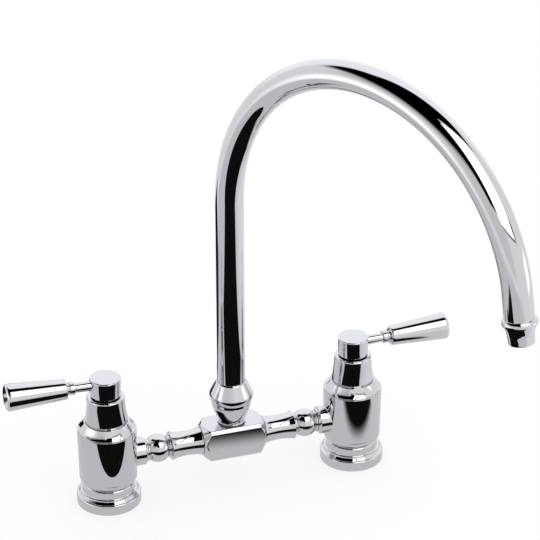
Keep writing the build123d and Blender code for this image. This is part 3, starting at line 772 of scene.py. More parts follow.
# ---- column ----
@dataclass(frozen=True)
class ColumnBody:
    """Cast body with a swelling foot, a coned shoulder on a lip, and a boss for the arm."""

    foot_height: float = 18.0
    groove_radius: float = 18.8
    foot: Corner = Corner(19.5, 18.3, ease=0.3)
    heel: Corner = Corner(22.7, 24.5, -1.1)
    top: Corner = Corner(23.4, 65.1, ease=0.45)
    lip_groove: float = 22.2
    shoulder: Corner = Corner(22.7, 65.6, ease=0.3)
    flare: Corner = Corner(20.85, 67.5, 0.06, ease=0.9)
    cone: Corner = Corner(17.7, 72.95, 0.06, ease=0.5)
    seat_radius: float = 15.9
    seat_height: float = 74.2
    spigot_radius: float = 13.68
    inlet_radius: float = 10.48
    inlet_low: float = 0.4
    inlet_top: float = 15.4
    waterway_radius: float = 6.0
    valve_seat: float = 26.0
    chamber_radius: float = 12.2
    chamber_top: float = 52.0
    thread_radius: float = 10.45
    boss_radius: float = 11.1
    boss_reach: float = 30.9
    boss_round: float = 1.8
    boss_land: float = 0.4           # straight stretch behind its rounded edge
    boss_root: float = 16.2          # where it ends, inside the wall of the barrel
    socket_radius: float = 8.25
    socket_depth: float = 9.5
    fillet: float = 0.7
    fillet_parts: int = 9
    sink: float = 0.006
    around: int = 192

    def barrel(self) -> Shell:
        """Turned part of the body, with its inlet, waterway and valve chamber.

        Returns:
            The barrel, standing at the origin.
        """
        corners = [
            Corner(self.inlet_radius, self.inlet_low, ease=0.6),
            *stairs(self.inlet_low, self.spigot_radius, self.foot_height, self.groove_radius),
            Corner(self.groove_radius, self.foot.height, ease=0.1),
            self.foot,
            self.heel,
            self.top,
            *stairs(self.top.height, self.lip_groove, self.shoulder.height),
            self.shoulder,
            self.flare,
            self.cone,
            *stairs(
                self.cone.height, self.seat_radius, self.seat_height, self.thread_radius,
                self.chamber_top, self.chamber_radius, self.valve_seat, self.waterway_radius,
                self.inlet_top, self.inlet_radius,
            ),
        ]
        return spin(outline(corners), self.around)

    def barrel_radius(self, height: np.ndarray) -> np.ndarray:
        """Radius of the coned barrel at some heights."""
        share = (height - self.heel.height) / (self.top.height - self.heel.height)
        return self.heel.radius + share * (self.top.radius - self.heel.radius) - self.sink

    def boss(self, side: Side) -> Shell:
        """Round boss whose root flows into the barrel by a small fillet all round.

        Args:
            side: The side of its column; the boss points to the middle.

        Returns:
            The boss, on a column that stands at the origin.
        """
        floor, edge = self.boss_reach - self.socket_depth, self.boss_reach - self.boss_round
        rim = outline([
            Corner(0.0, floor),
            *stairs(floor, self.socket_radius, self.boss_reach, self.boss_radius - self.boss_round),
            Corner(self.boss_radius, edge, -self.boss_round * QUARTER),
            Corner(self.boss_radius, edge - self.boss_land),
        ], closed=False)
        angles = np.arange(self.around) * (2 * math.pi / self.around)
        cosine, sine, zero = np.cos(angles), np.sin(angles), np.zeros_like(angles)
        rows: list[tuple[np.ndarray, np.ndarray]] = []
        for sample in rim[1:]:
            (radius, reach), (across, along) = sample.place, sample.facing
            place = np.stack([zero + reach, radius * cosine, radius * sine], 1)
            # the outline runs the other way round here, so its facings are turned about
            rows.append((place, -np.stack([zero + along, across * cosine, across * sine], 1)))
        ball = self.boss_radius + self.fillet
        centre_y, centre_z = ball * cosine, ball * sine
        core = self.barrel_radius(LAYOUT.bridge_height + centre_z) + self.fillet
        centre_x = np.sqrt(core**2 - centre_y**2)
        centre = np.stack([centre_x, centre_y, centre_z], 1)
        to_boss = np.stack([zero, -cosine, -sine], 1)
        to_barrel = np.stack([-centre_x, -centre_y, zero], 1) / core[:, None]
        opening = np.arccos(np.clip((to_boss * to_barrel).sum(1), -1, 1))[:, None]
        for step in range(self.fillet_parts + 1):
            share = step / self.fillet_parts
            way = np.sin((1 - share) * opening) * to_boss + np.sin(share * opening) * to_barrel
            way /= np.sin(opening)
            rows.append((centre + self.fillet * way, -way))
        end = rows[-1][0].copy()
        end[:, 0] = self.boss_root
        rows.append((end, rows[-1][1]))
        points = np.vstack([row[0] for row in rows] + [[[floor, 0, 0], [self.boss_root, 0, 0]]])
        ways = np.vstack([row[1] for row in rows] + [[[1, 0, 0], [-1, 0, 0]]])
        # the boss is made towards +X, and a half turn about Z points the right one to the middle
        points[:, :2] *= -side.value
        ways[:, :2] *= -side.value
        points[:, 2] += LAYOUT.bridge_height
        faces = [face[::-1] for face in grid_faces(len(rows), self.around, capped=True)]
        return Shell(points, ways, faces)

    def build(self, side: Side) -> None:
        """Join barrel and boss, and shade the result by the shells it came from.

        Args:
            side: The side of the column.
        """
        name, place = side.name_of("column"), LAYOUT.at_column(side)
        shells = [self.barrel().placed(place), self.boss(side).placed(place)]
        show(joined(name, shells), "base", name, side.name_of("column_body"))


@dataclass(frozen=True)
class BonnetCover:
    """Tapered cover over the valve, flared at its foot."""

    seat_height: float = 74.2
    base_radius: float = 16.8
    hollow: float = 0.42
    rim_radius: float = 14.8
    height: float = 20.9
    rim_round: float = 1.7
    wall: float = 1.6
    hole_radius: float = 6.5

    def build(self, side: Side) -> None:
        """Make the cover of one side.

        Args:
            side: The side of the column.
        """
        top = self.seat_height + self.height
        samples = outline([
            Corner(self.base_radius - self.wall, self.seat_height),
            Corner(self.base_radius, self.seat_height, ease=0.25),
            Corner(self.rim_radius, top - self.rim_round, self.hollow, ease=0.6),
            Corner(self.rim_radius - self.rim_round, top, -self.rim_round * QUARTER),
            *stairs(top, self.hole_radius, top - self.wall, self.rim_radius - self.wall),
        ])
        names, place = ("bonnet", "bonnet_cover"), LAYOUT.at_column(side)
        show_turned(samples, "base", *map(side.name_of, names), place)


# ---- lever ----
@dataclass(frozen=True)
class LeverHandle:
    """Hub, thin stem, small collar and long coned grip, all turned."""

    hub_foot: Corner = Corner(11.8, 96.1, ease=0.35)
    hub_radius: float = 12.1
    hub_top: float = 111.3
    hub_edge: float = 1.1
    hub_dome: float = 0.4
    spindle_radius: float = 3.95
    spindle_top: float = 106.55
    stem_start: float = 6.35
    stem_pin: float = 2.9            # radius of its inner end, in the hub
    stem_sunk: float = 1.6           # depth of its shoulder in the hub
    stem_radius: float = 3.9
    stem_end_radius: float = 3.6
    ferrule_start: float = 24.4
    ferrule_length: float = 4.6
    ferrule_radius: float = 5.1
    ferrule_round: float = 0.9
    neck_length: float = 1.6
    grip_length: float = 48.1
    grip_small: float = 7.9
    grip_big: float = 10.7
    grip_round: float = 1.8
    grip_end_round: float = 2.6
    grip_dome: float = 0.7
    grip_bore: float = 16.0
    around_stem: int = 96

    @property
    def ferrule_end(self) -> float:
        """Where the collar ends and its short neck starts."""
        return self.ferrule_start + self.ferrule_length

    def hub(self) -> list[Sample]:
        """Outline of the hub, with the hole for its spindle.

        Returns:
            Its samples.
        """
        edge_top, crown = self.hub_top - self.hub_dome, self.hub_radius - self.hub_edge
        return outline([
            Corner(0.0, self.spindle_top),
            *stairs(self.spindle_top, self.spindle_radius, self.hub_foot.height),
            self.hub_foot,
            Corner(self.hub_radius, edge_top - self.hub_edge, ease=0.1),
            Corner(crown, edge_top, -self.hub_edge * QUARTER, ease=0.5),
            Corner(0.0, self.hub_top, crest_bulge(crown, self.hub_dome)),
        ], closed=False)

    def stem(self) -> list[Sample]:
        """Outline of the stem, from the inside of the hub to the inside of the grip.

        Returns:
            Its samples.
        """
        shoulder = self.hub_radius - self.stem_sunk
        end = self.ferrule_end + self.neck_length + self.grip_bore
        return outline([
            Corner(0.0, self.stem_start),
            *stairs(self.stem_start, self.stem_pin, shoulder, self.stem_radius),
            Corner(self.stem_radius, self.hub_radius, ease=0.1),
            Corner(self.stem_end_radius, self.ferrule_start, ease=0.1),
            Corner(self.stem_end_radius, end),
            Corner(0.0, end),
        ], closed=False)

    def ferrule(self) -> list[Sample]:
        """Outline of the collar and its short neck.

        Returns:
            Its samples.
        """
        start, end = self.ferrule_start, self.ferrule_end
        bore, neck = self.stem_end_radius + PLAY, self.ferrule_radius - self.ferrule_round
        bulge = -self.ferrule_round * QUARTER
        return outline([
            Corner(bore, start),
            Corner(neck, start),
            Corner(self.ferrule_radius, start + self.ferrule_round, bulge),
            Corner(self.ferrule_radius, end - self.ferrule_round),
            Corner(neck, end, bulge, ease=0.15),
            Corner(neck, end + self.neck_length),
            Corner(bore, end + self.neck_length),
        ])

    def grip(self) -> list[Sample]:
        """Outline of the coned grip, with the bore for the stem.

        Returns:
            Its samples.
        """
        start = self.ferrule_end + self.neck_length
        end, floor = start + self.grip_length, start + self.grip_bore
        crown = self.grip_big - self.grip_end_round
        bulge, end_bulge = -self.grip_round * QUARTER, -self.grip_end_round * QUARTER
        return outline([
            Corner(0.0, floor),
            *stairs(floor, self.stem_end_radius + PLAY, start, self.grip_small - self.grip_round),
            Corner(self.grip_small, start + self.grip_round, bulge, ease=0.5),
            Corner(self.grip_big, end - self.grip_end_round, ease=0.5),
            Corner(crown, end, end_bulge, ease=0.5),
            Corner(0.0, end + self.grip_dome, crest_bulge(crown, self.grip_dome)),
        ], closed=False)

    def build(self, side: Side) -> None:
        """Make the four pieces of one lever.

        Args:
            side: The side of the column.
        """
        body, along_lever = side.name_of("lever"), LAYOUT.along_lever(side)
        for samples, piece, node, place, around in (
            (self.hub(), "hub", "handle_hub", LAYOUT.at_column(side), AROUND),
            (self.stem(), "stem", "lever_stem", along_lever, self.around_stem),
            (self.ferrule(), "ferrule", "lever_ferrule", along_lever, self.around_stem),
            (self.grip(), "grip", "lever_grip", along_lever, AROUND),
        ):
            show_turned(samples, body, side.name_of(piece), side.name_of(node), place, around)


# ---- bridge ----
@dataclass(frozen=True)
class BridgeArm:
    """Turned arm: trumpet, crisp lip, bead, ball and bead, with a spigot at each end."""

    block_end: float = 25.5
    groove_radius: float = 10.5
    groove_end: float = 26.0
    trumpet_radius: float = 11.3
    waist_radius: float = 9.7
    lip_edge: float = 50.61
    lip_radius: float = 11.4
    lip_end: float = 51.01
    lip_round: float = 1.6
    lip_bulge: float = 0.3
    neck_radius: float = 8.0
    neck_bead: float = 0.7
    inner_neck: float = 53.21
    ball_radius: float = 11.1
    outer_neck: float = 68.6
    boss_end: float = 70.6
    shoulder_rise: float = 0.01      # of the face between the last bead and the spigot
    bore_radius: float = 5.5
    block_spigot: float = 8.4
    block_spigot_end: float = 18.2
    column_spigot: float = 8.2
    column_spigot_end: float = 80.1
    around: int = 160

    def build(self, side: Side) -> None:
        """Make the arm of one side.

        Args:
            side: The side that it reaches to.
        """
        hollow = (self.lip_radius + self.trumpet_radius) / 2 - self.waist_radius
        ball = self.neck_radius - self.ball_radius
        samples = outline([
            Corner(self.bore_radius, self.block_spigot_end),
            *stairs(
                self.block_spigot_end, self.block_spigot, self.block_end, self.groove_radius,
                self.groove_end,
            ),
            Corner(self.trumpet_radius, self.groove_end, ease=0.45),
            Corner(self.lip_radius, self.lip_edge, hollow, ease=0.18),
            Corner(self.lip_radius - self.lip_round, self.lip_end, -self.lip_bulge, ease=0.15),
            Corner(self.neck_radius, self.lip_end, ease=0.2),
            Corner(self.neck_radius, self.inner_neck, -self.neck_bead, ease=0.25),
            Corner(self.neck_radius, self.outer_neck, ball, ease=0.25),
            Corner(self.neck_radius, self.boss_end, -self.neck_bead, ease=0.15),
            Corner(self.column_spigot, self.boss_end + self.shoulder_rise, ease=0.05),
            Corner(self.column_spigot, self.column_spigot_end),
            Corner(self.bore_radius, self.column_spigot_end),
        ])
        names, place = ("arm", "bridge_arm"), LAYOUT.along_bridge(side)
        show_turned(samples, "base", *map(side.name_of, names), place, self.around)


@dataclass(frozen=True)
class CentreBlock:
    """Square bar with bevelled edges, whose ends are turned to a cone."""

    side: float = 27.5
    half_length: float = 25.5
    bevel: float = 2.5               # down the front and back
    bevel_in: float = 2.05           # across the top and bottom
    end_radius: float = 12.2
    end_band: float = 0.4            # width of the rim that still faces as the bar does
    cone_deg: float = 49.0
    ease: float = 0.5
    socket_radius: float = 8.45
    socket_end: float = 18.2
    bore_radius: float = 5.5

    def cross_section(self) -> list[Sample]:
        """Outline of the bar seen along the bridge.

        Returns:
            Its samples.
        """
        face = self.side / 2
        edge, inner = face - self.bevel, face - self.bevel_in
        rim = [(face, -edge), (face, edge), (inner, face), (-inner, face)]
        rim += [(-across, -up) for across, up in rim]
        return outline([Corner(*point, ease=self.ease) for point in rim])

    def half_row(self, reach: float) -> list[Sample]:
        """One line along the bar at some turn about its axis, from its middle to one end.

        Args:
            reach: Distance from the bar's axis to its surface at that turn.

        Returns:
            Samples of (distance from the axis, place along the bar); the first face outwards.
        """
        meet = self.half_length - (reach - self.end_radius) / math.tan(math.radians(self.cone_deg))
        return outline([
            Corner(reach, 0.0),
            Corner(reach, meet, ease=self.ease),
            Corner(self.end_radius, self.half_length, ease=0.3),
            *stairs(
                self.half_length, self.socket_radius, self.socket_end, self.bore_radius, 0.0
            ),
        ], closed=False, parts=3)

    def line(self, across: Sample) -> list[tuple[np.ndarray, np.ndarray]]:
        """A whole line along the bar, out over its two ends and back through its bore.

        Args:
            across: The sample of the cross section that it passes through.

        Returns:
            Points of the line, each with the way that the surface faces there.
        """
        flat = np.array([0.0, *across.facing])
        reach = float(np.hypot(*across.place))
        out = np.array(across.place) / reach
        half = []
        for step in self.half_row(reach):
            radius, along = step.place
            way = spun = np.array([step.facing[1], *(out * step.facing[0])])
            if radius > self.end_radius - self.end_band:
                # on the flat of the bar the surface faces as the bar does, on the cone as it turns
                share = min(1.0, abs(step.facing[1]) / math.sin(math.radians(self.cone_deg)))
                way = flat * (1 - share) + spun * share
            half.append((np.array([along, *(out * radius)]), way / np.linalg.norm(way)))
        mirror = np.array([-1.0, 1.0, 1.0])
        return half + [(place * mirror, way * mirror) for place, way in reversed(half[1:-1])]

    def build(self) -> None:
        """Make the block as one closed grid: lines along the bar, side by side about its axis."""
        lines = [self.line(across) for across in self.cross_section()]
        rows, around = len(lines[0]), len(lines)
        points, ways = (
            np.array([[line[row][part] for line in lines] for row in range(rows)]).reshape(-1, 3)
            for part in (0, 1)
        )
        place = Matrix.Translation((0, 0, LAYOUT.bridge_height))
        shell = Shell(points, ways, grid_faces(rows, around, capped=False)).placed(place)
        show(shell.mesh("tee_block"), "base", "tee_block", "centre_block")


# ---- spout ----
@dataclass(frozen=True)
class SpoutSeat:
    """Bowl on a small foot, and the double-coned ring nut on it."""

    low: float = 53.45
    thread_low: float = 45.2
    thread_radius: float = 9.18
    foot: Corner = Corner(10.9, 54.5, -0.25, ease=0.2)
    neck_radius: float = 10.65
    cove: Corner = Corner(11.0, 56.4, 0.12, ease=0.9)
    bowl: Corner = Corner(15.9, 70.6, -0.45, ease=0.48)
    collar_radius: float = 15.55
    ring_radius: float = 14.3
    top: float = 77.0
    cup_radius: float = 12.7
    cup_floor: float = 69.6
    bore_radius: float = 8.98
    step: float = 57.3
    waterway_radius: float = 6.2
    skirt: Corner = Corner(16.25, 73.3, ease=0.2)
    widest: Corner = Corner(17.2, 78.7, -0.5, ease=1.3)
    nut_edge: Corner = Corner(12.1, 89.3, ease=0.3)
    nut_top: Corner = Corner(11.36, 90.1, ease=0.1)
    nut_bore: float = 11.08
    nut_headroom: float = 0.3        # between the nut's inside and the top of the socket

    def socket(self) -> list[Sample]:
        """Outline of the socket: foot, cove, bowl, and the collar under the nut.

        Returns:
            Its samples.
        """
        return outline([
            Corner(self.waterway_radius, self.thread_low),
            *stairs(self.thread_low, self.thread_radius, self.low, self.foot.radius),
            self.foot,
            Corner(self.neck_radius, self.foot.height, ease=0.08),
            self.cove,
            self.bowl,
            *stairs(
                self.bowl.height, self.collar_radius, self.skirt.height - PLAY, self.ring_radius,
                self.top, self.cup_radius, self.cup_floor, self.bore_radius, self.step,
                self.waterway_radius,
            ),
        ])

    def nut(self) -> list[Sample]:
        """Outline of the ring nut.

        Returns:
            Its samples.
        """
        bore, ceiling = self.ring_radius + PLAY, self.top + self.nut_headroom
        return outline([
            Corner(bore, self.skirt.height),
            self.skirt,
            self.widest,
            self.nut_edge,
            self.nut_top,
            *stairs(self.nut_top.height, self.nut_bore, ceiling, bore),
        ])

    def build(self) -> None:
        """Make the socket and the nut."""
        show_turned(self.socket(), "base", "socket_bowl", "spout_socket")
        show_turned(self.nut(), "base", "ring_nut", "spout_nut")


@dataclass(frozen=True)
class SwanNeck:
    """Tube that rises, bends right over in one curve, and ends in a turned outlet."""

    low: float = 72.72
    rise: float = 248.52
    bend_radius: float = 138.5
    bend_deg: float = 170.7
    straight: float = 17.2
    heading_deg: float = 61.7
    radius: float = 11.0
    inner_radius: float = 9.9
    end_ease: float = 0.2
    outer_lean: float = 0.4          # how far the edges of its ends face along it
    inner_lean: float = 0.6
    around: int = 128
    riser_parts: int = 24
    bend_parts: int = 200
    straight_parts: int = 4
    inner_every: int = 4             # the inside has one ring for this many outside
    bead_shoulder: float = 11.4
    bead_radius: float = 13.1
    bead_crest: float = 2.9
    bead_edge: float = 12.3
    bead_height: float = 5.4
    nozzle: Corner = Corner(9.9, 13.6, 0.6, ease=0.8)
    tip_radius: float = 9.5
    length: float = 18.9
    tip_round: float = 0.6
    spigot_length: float = 8.0
    mouth_radius: float = 8.55
    seal_start: float = 9.4
    outlet_bore: float = 7.3

    def heading(self) -> Matrix:
        """Turn of the spout about its riser."""
        return Matrix.Rotation(-math.radians(self.heading_deg), 4, "Z")

    def stations(self) -> list[Place]:
        """Centre line in the XZ plane: place and turn from upright, in radians.

        Returns:
            Stations as (x, z, turn).
        """
        turn, up = math.radians(self.bend_deg), self.rise - self.low
        shares = [part / self.riser_parts for part in range(self.riser_parts)]
        line = [(0.0, self.low + up * share, 0.0) for share in shares]
        for angle in (turn * part / self.bend_parts for part in range(self.bend_parts + 1)):
            across = self.bend_radius * (1 - math.cos(angle))
            line.append((across, self.rise + self.bend_radius * math.sin(angle), angle))
        x, z, _ = line[-1]
        for part in range(1, self.straight_parts + 1):
            walked = self.straight * part / self.straight_parts
            line.append((x + walked * math.sin(turn), z + walked * math.cos(turn), turn))
        return line

    def tube(self) -> Shell:
        """The tube, outside and inside, with eased ends.

        Returns:
            The tube, bending towards +X.
        """
        angles = np.arange(self.around) * (2 * math.pi / self.around)
        line = self.stations()
        foot, tip = line[0], line[-1]
        edge = self.radius - self.end_ease
        # rings as (station, radius, how far the surface faces outwards, and along the tube)
        rings = [(foot, edge, 0.0, -1.0), (foot, self.radius, 1.0, -self.outer_lean)]
        rings += [(station, self.radius, 1.0, 0.0) for station in line]
        rings += [(tip, self.radius, 1.0, self.outer_lean), (tip, edge, 0.0, 1.0)]
        rings += [(tip, self.inner_radius, -1.0, self.inner_lean)]
        inside = reversed(line[::self.inner_every])
        rings += [(station, self.inner_radius, -1.0, 0.0) for station in inside]
        points, ways = [], []
        for (x, z, turn), radius, outwards, onwards in rings:
            inward = np.array([math.cos(turn), 0.0, -math.sin(turn)])
            along = np.array([math.sin(turn), 0.0, math.cos(turn)])
            out = np.outer(np.cos(angles), inward) + np.outer(np.sin(angles), [0.0, 1.0, 0.0])
            way = out * outwards + along * onwards
            points.append(np.array([x, 0.0, z]) + out * radius)
            ways.append(way / np.linalg.norm(way, axis=1)[:, None])
        faces = grid_faces(len(rings), self.around, capped=False)
        return Shell(np.vstack(points), np.vstack(ways), faces)

    def outlet(self) -> list[Sample]:
        """Outline of the outlet: rolled bead, coved neck and slightly tapered nozzle.

        Returns:
            Its samples, with the height running on from the end of the tube.
        """
        low, spigot = -self.spigot_length, self.inner_radius - PLAY
        first = crest_bulge(self.bead_crest, self.bead_radius - self.bead_shoulder)
        fall = self.bead_height - self.bead_crest
        second = crest_bulge(fall, self.bead_radius - self.bead_edge)
        return outline([
            Corner(self.outlet_bore, low),
            *stairs(low, spigot, 0.0),
            Corner(self.bead_shoulder, 0.0, ease=0.12),
            Corner(self.bead_radius, self.bead_crest, first),
            Corner(self.bead_edge, self.bead_height, second, ease=0.3),
            self.nozzle,
            Corner(self.tip_radius, self.length - self.tip_round),
            Corner(self.tip_radius - self.tip_round, self.length, -self.tip_round * QUARTER),
            Corner(self.mouth_radius, self.length, ease=0.1),
            Corner(self.mouth_radius, self.seal_start),
            Corner(self.outlet_bore, self.seal_start),
        ])

    def outlet_place(self) -> Matrix:
        """Place at the end of the tube, with Z pointing along the falling water."""
        x, z, turn = self.stations()[-1]
        return self.heading() @ Matrix.Translation((x, 0, z)) @ Matrix.Rotation(turn, 4, "Y")

    def build(self) -> None:
        """Make the tube and the outlet."""
        tube = self.tube().placed(self.heading()).mesh("swan_neck")
        show(tube, "spout", "swan_neck", "spout_tube")
        show_turned(self.outlet(), "spout", "outlet_nozzle", "spout_outlet", self.outlet_place())


# ---- pieces kept from the CAD ----
class InnerWorks:
    """The pieces inside, which keep their shape and get the finish of their slot."""

    def build(self) -> None:
        """Dress every node that is still shown."""
        for name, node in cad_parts.items():
            if node.hide_render:
                continue
            for holder in node.material_slots:
                slot = holder.material.name.split(".")[0]
                holder.material = Slot.dressing(slot)
            log.info("%s: kept, dressed", name)


# ---- studio ----
def ramp(share: float) -> float:
    """Smooth rise from 0 to 1 while the share goes from 0 to 1."""
    share = max(0.0, min(1.0, share))
    return share * share * (3 - 2 * share)


@dataclass(frozen=True)
class Sheet:
    """A flat studio sheet: four corners, how each edge fades out, and its light.

    The corners go round from the low left; the first edge of the fades is the low one.
    """

    name: str
    corners: tuple[Place, Place, Place, Place]
    light: float                                    # 1 is white, 0 is a black cloth
    fades: tuple[float, float, float, float] = (0.05, 0.05, 0.05, 0.05)
    tint: Colour = (1.0, 1.0, 1.0)
    lamp: bool = False                              # whether it also lights the faucet
    parts: int = 40

    def place(self, across: float, up: float) -> Vector:
        """Point of the sheet at two shares of its width and height."""
        low_left, low_right, high_right, high_left = (Vector(corner) for corner in self.corners)
        return low_left.lerp(low_right, across).lerp(high_left.lerp(high_right, across), up)

    def cover(self, across: float, up: float) -> float:
        """How solid the sheet is at a point, from 0 on a fading edge to 1."""
        edges = zip((up, 1 - across, 1 - up, across), self.fades)
        return math.prod(ramp(away / fade) for away, fade in edges if fade)

    def material(self) -> bpy.types.Material:
        """Even light that fades out with the sheet's cover.

        Returns:
            The material.
        """
        made = bpy.data.materials.new(self.name)
        recipe = Recipe(made)
        cover = recipe.add("ShaderNodeAttribute", output="Fac", attribute_name="cover")
        clear = recipe.add("ShaderNodeBsdfTransparent")
        values = {"Color": (*self.tint, 1.0), "Strength": self.light}
        light = recipe.add("ShaderNodeEmission", values)
        recipe.finish(recipe.add("ShaderNodeMixShader", {0: cover, 1: clear, 2: light}))
        return made

    def build(self) -> None:
        """Make the sheet; it is seen in reflections, and not by the camera."""
        row = self.parts + 1
        shares = [part / self.parts for part in range(row)]
        grid = [(across, up) for up in shares for across in shares]
        lows = (low for low in range(row * self.parts) if (low + 1) % row)
        squares = [(low, low + 1, low + row + 1, low + row) for low in lows]
        mesh = bpy.data.meshes.new(self.name)
        mesh.from_pydata([self.place(*point) for point in grid], [], squares)
        cover = mesh.attributes.new("cover", "FLOAT", "POINT")
        cover.data.foreach_set("value", [self.cover(*point) for point in grid])
        mesh.materials.append(self.material())
        sheet = put_in_scene(self.name, mesh)
        sheet.visible_camera = sheet.visible_shadow = False
        sheet.visible_transmission = sheet.visible_diffuse = self.lamp


@dataclass(frozen=True)
class Wall(Sheet):
    """A curved sheet round the faucet, whose corners are (turn, lift, distance).

    The turn goes from -Y towards +X, and the lift up from the horizon, both in degrees. The
    distance is in metres, from a point above the middle of the deck.
    """

    height: float = 0.2

    def place(self, across: float, up: float) -> Vector:
        """Point of the wall at two shares of its width and height.

        Args:
            across: Share of the width.
            up: Share of the height.

        Returns:
            The point.
        """
        turn, lift, distance = super().place(across, up)
        turn, lift = math.radians(turn), math.radians(lift)
        level = math.cos(lift) * distance
        way = Vector((math.sin(turn) * level, -math.cos(turn) * level, math.sin(lift) * distance))
        return way + Vector((0, 0, self.height))


def wall(turn: Pair, lift: Pair, distance: float) -> tuple[Place, ...]:
    """Corners of a wall from its spans and its distance."""
    ends = zip((turn[0], turn[1], turn[1], turn[0]), (lift[0], lift[0], lift[1], lift[1]))
    return tuple((*end, distance) for end in ends)


def cloth(near: Sequence[Pair], far: Sequence[Pair], height: float) -> tuple[Place, ...]:
    """Corners of a cloth on the floor, from the left and right ends of its near and far edges."""
    return tuple((*corner, height) for corner in (near[0], near[1], far[1], far[0]))


SHEETS = (
    Sheet(
        "front_softbox",
        ((-0.005, -0.71, 0.47), (0.62, -0.71, 0.47), (0.66, -0.27, 1.165), (-0.015, -0.345, 1.05)),
        2.1, (0.015, 0.10, 0.03, 0.025), lamp=True,
    ),
    Sheet(
        "softbox_frame",
        ((-0.02, -0.715, 0.45), (0.62, -0.715, 0.45), (0.62, -0.71, 0.472), (-0.02, -0.71, 0.472)),
        0.25, (0.4, 0.1, 0.0, 0.1),
    ),
    Sheet(
        "dark_corner",
        ((0.47, -0.70, 0.42), (0.74, -0.70, 0.42), (0.74, -0.58, 0.74), (0.50, -0.58, 0.74)),
        0.05, (0.3, 0.4, 0.6, 0.4),
    ),
    Sheet(
        "left_strip",
        ((-0.30, -0.83, 0.55), (0.05, -0.83, 0.55), (0.05, -0.30, 1.45), (-0.72, -0.30, 1.45)),
        0.0, (0.03, 0.0, 0.0, 0.2),
    ),
    Sheet(
        "ceiling",
        ((-0.75, -0.33, 1.10), (1.05, -0.25, 1.21), (0.86, 0.15, 1.22), (-0.58, 0.43, 1.16)),
        0.0, (0.0, 0.08, 0.16, 0.03),
    ),
    Wall("left_flag", wall((-152, -24), (33, 89), 2.0), 0.0, (0.16, 0.04, 0.0, 0.06)),
    Wall("left_dusk", wall((-124, -20), (12, 54), 2.1), 0.18, (0.75, 0.16, 0.1, 0.3)),
    Wall("front_dusk", wall((-74, 8), (-16, 22), 2.3), 0.80, (0.1, 0.3, 0.2, 0.2)),
    Wall("left_lamp", wall((-122, -56), (-22, 25), 0.85), 1.8, (0.5, 0.45, 0.5, 0.45), lamp=True),
    Wall("right_lamp", wall((48, 78), (-9, 8), 1.0), 1.8, (0.3, 0.3, 0.3, 0.3), lamp=True),
    Wall(
        "back_wall", wall((100, 214), (-2, 72), 2.7), 1.28, (0.15, 0.15, 0.15, 0.15),
        (0.958, 0.975, 1.0), lamp=True,
    ),
    Sheet(
        "near_floor",
        cloth(((-0.95, 0.22), (0.36, 0.22)), ((-0.95, -1.40), (0.60, -1.40)), 0.0001),
        0.76, (0.08, 0.22, 0.15, 0.3), (0.985, 0.992, 1.0),
    ),
    Sheet(
        "left_cloth",
        cloth(((-0.30, -0.0755), (-0.006, -0.068)), ((-0.58, -0.545), (-0.006, -0.56)), 0.0004),
        0.006, (0.0, 0.0, 0.05, 0.08), parts=100,
    ),
    Sheet(
        "right_cloth",
        cloth(((-0.010, -0.065), (0.198, -0.049)), ((-0.010, -0.285), (0.202, -0.285)), 0.0006),
        0.006, (0.125, 0.05, 0.0, 0.0), parts=100,
    ),
    Sheet(
        "far_cloth",
        cloth(((-0.010, -0.28), (0.198, -0.28)), ((-0.010, -0.56), (0.238, -0.54)), 0.0006),
        0.006, (0.0, 0.06, 0.09, 0.0), parts=100,
    ),
    Sheet(
        "back_strip",
        cloth(((-0.56, 0.155), (0.12, 0.150)), ((-0.56, 0.188), (0.12, 0.188)), 0.0004),
        0.05, (0.3, 0.1, 0.3, 0.1),
    ),
    Sheet(
        "behind_riser",
        cloth(((-0.34, 0.212), (-0.024, 0.132)), ((-0.46, 0.47), (-0.024, 0.51)), 0.0005),
        0.01, (0.05, 0.05, 0.1, 0.1),
    ),
)


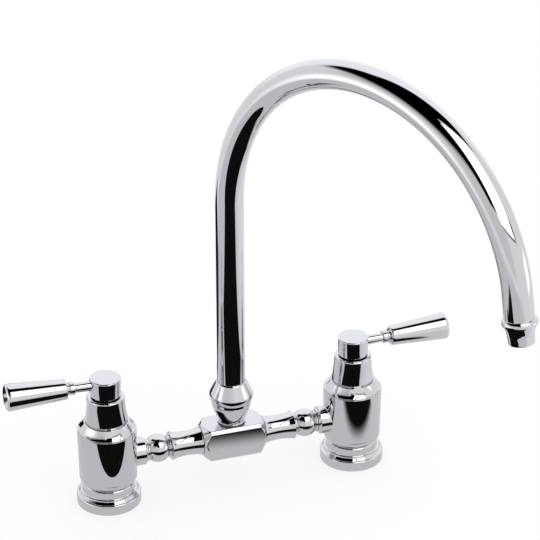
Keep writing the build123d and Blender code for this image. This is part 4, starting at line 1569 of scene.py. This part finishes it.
@dataclass(frozen=True)
class Studio:
    """Pale floor, white surroundings, sheets that light or darken the faucet, and the camera."""

    floor_reach: float = 14.0
    floor_height: float = -0.0003
    floor_colour: Colour = (0.90, 0.90, 0.90)
    floor_grain: Colour = (0.88, 0.88, 0.88)
    floor_grain_scale: float = 300.0
    floor_white: float = 0.75
    room_light: float = 1.0
    camera_place: Place = (-0.4986, -1.6134, 1.0990)
    camera_turn_deg: float = 18.21
    camera_pitch_deg: float = 28.36
    camera_sight: float = 50.0
    focal_pixels: float = 2505.67
    sensor_mm: float = 36.0

    @staticmethod
    def seen_directly(recipe: Recipe) -> Socket:
        """1 for camera, glossy and transmission rays, which all see the white background.

        Args:
            recipe: The node tree to build in.

        Returns:
            The value.
        """
        seen = recipe.add("ShaderNodeLightPath", output="Is Camera Ray")
        for kind in ("Is Glossy Ray", "Is Transmission Ray"):
            other = recipe.add("ShaderNodeLightPath", output=kind)
            seen = recipe.add("ShaderNodeMath", {0: seen, 1: other}, operation="MAXIMUM")
        return seen

    def world(self) -> None:
        """White where it is seen, and an even, plain light elsewhere."""
        made = bpy.data.worlds.new("studio_room")
        bpy.context.scene.world = made
        recipe = Recipe(made)
        room, white = (
            recipe.add("ShaderNodeBackground", {"Strength": light, "Color": (1.0, 1.0, 1.0, 1.0)})
            for light in (self.room_light, 1.0)
        )
        values = {0: self.seen_directly(recipe), 1: room, 2: white}
        recipe.finish(recipe.add("ShaderNodeMixShader", values), "ShaderNodeOutputWorld")

    def floor(self) -> None:
        """Pale floor that shows nearly white and keeps the faucet's soft shadow."""
        reach = self.floor_reach
        rim = [(-reach, -reach, 0), (reach, -reach, 0), (reach, reach, 0), (-reach, reach, 0)]
        mesh = bpy.data.meshes.new("studio_floor")
        mesh.from_pydata(rim, [], [(0, 1, 2, 3)])
        made = bpy.data.materials.new("pale_floor")
        recipe = Recipe(made)
        grain = recipe.noise(self.floor_grain_scale, detail=3.0)
        tone = recipe.two_colours(grain, self.floor_colour, self.floor_grain)
        matt = recipe.add("ShaderNodeBsdfDiffuse", {"Color": tone})
        white = recipe.add("ShaderNodeEmission", {"Color": (1, 1, 1, 1), "Strength": 1.0})
        values = {0: self.seen_directly(recipe), 1: self.floor_white}
        share = recipe.add("ShaderNodeMath", values, operation="MULTIPLY")
        recipe.finish(recipe.add("ShaderNodeMixShader", {0: share, 1: matt, 2: white}))
        mesh.materials.append(made)
        floor = put_in_scene("studio_floor", mesh)
        floor.location.z = self.floor_height

    def camera(self) -> None:
        """Camera at the photograph's angle."""
        data = bpy.data.cameras.new("camera")
        data.sensor_width = self.sensor_mm
        data.lens = self.focal_pixels * self.sensor_mm / PICTURE_PIXELS
        data.clip_end = self.camera_sight
        camera = put_in_scene("camera", data)
        camera.location = self.camera_place
        pitch, turn = math.radians(90 - self.camera_pitch_deg), math.radians(self.camera_turn_deg)
        camera.rotation_euler = (pitch, 0.0, -turn)
        bpy.context.scene.camera = camera

    def build(self) -> None:
        """Set up the whole studio."""
        self.world()
        self.floor()
        for sheet in SHEETS:
            sheet.build()
        self.camera()
        bpy.context.scene.view_settings.view_transform = "Standard"


def main() -> None:
    """Build the faucet's pieces, dress what is kept, and set up the studio."""
    logging.basicConfig(level=logging.INFO, format="%(name)s: %(message)s")
    for side in Side:
        for part in (BaseFlange(), ColumnBody(), BonnetCover(), LeverHandle(), BridgeArm()):
            part.build(side)
    for part in (CentreBlock(), SpoutSeat(), SwanNeck(), InnerWorks(), Studio()):
        part.build()


if __name__ == "__main__":
    main()
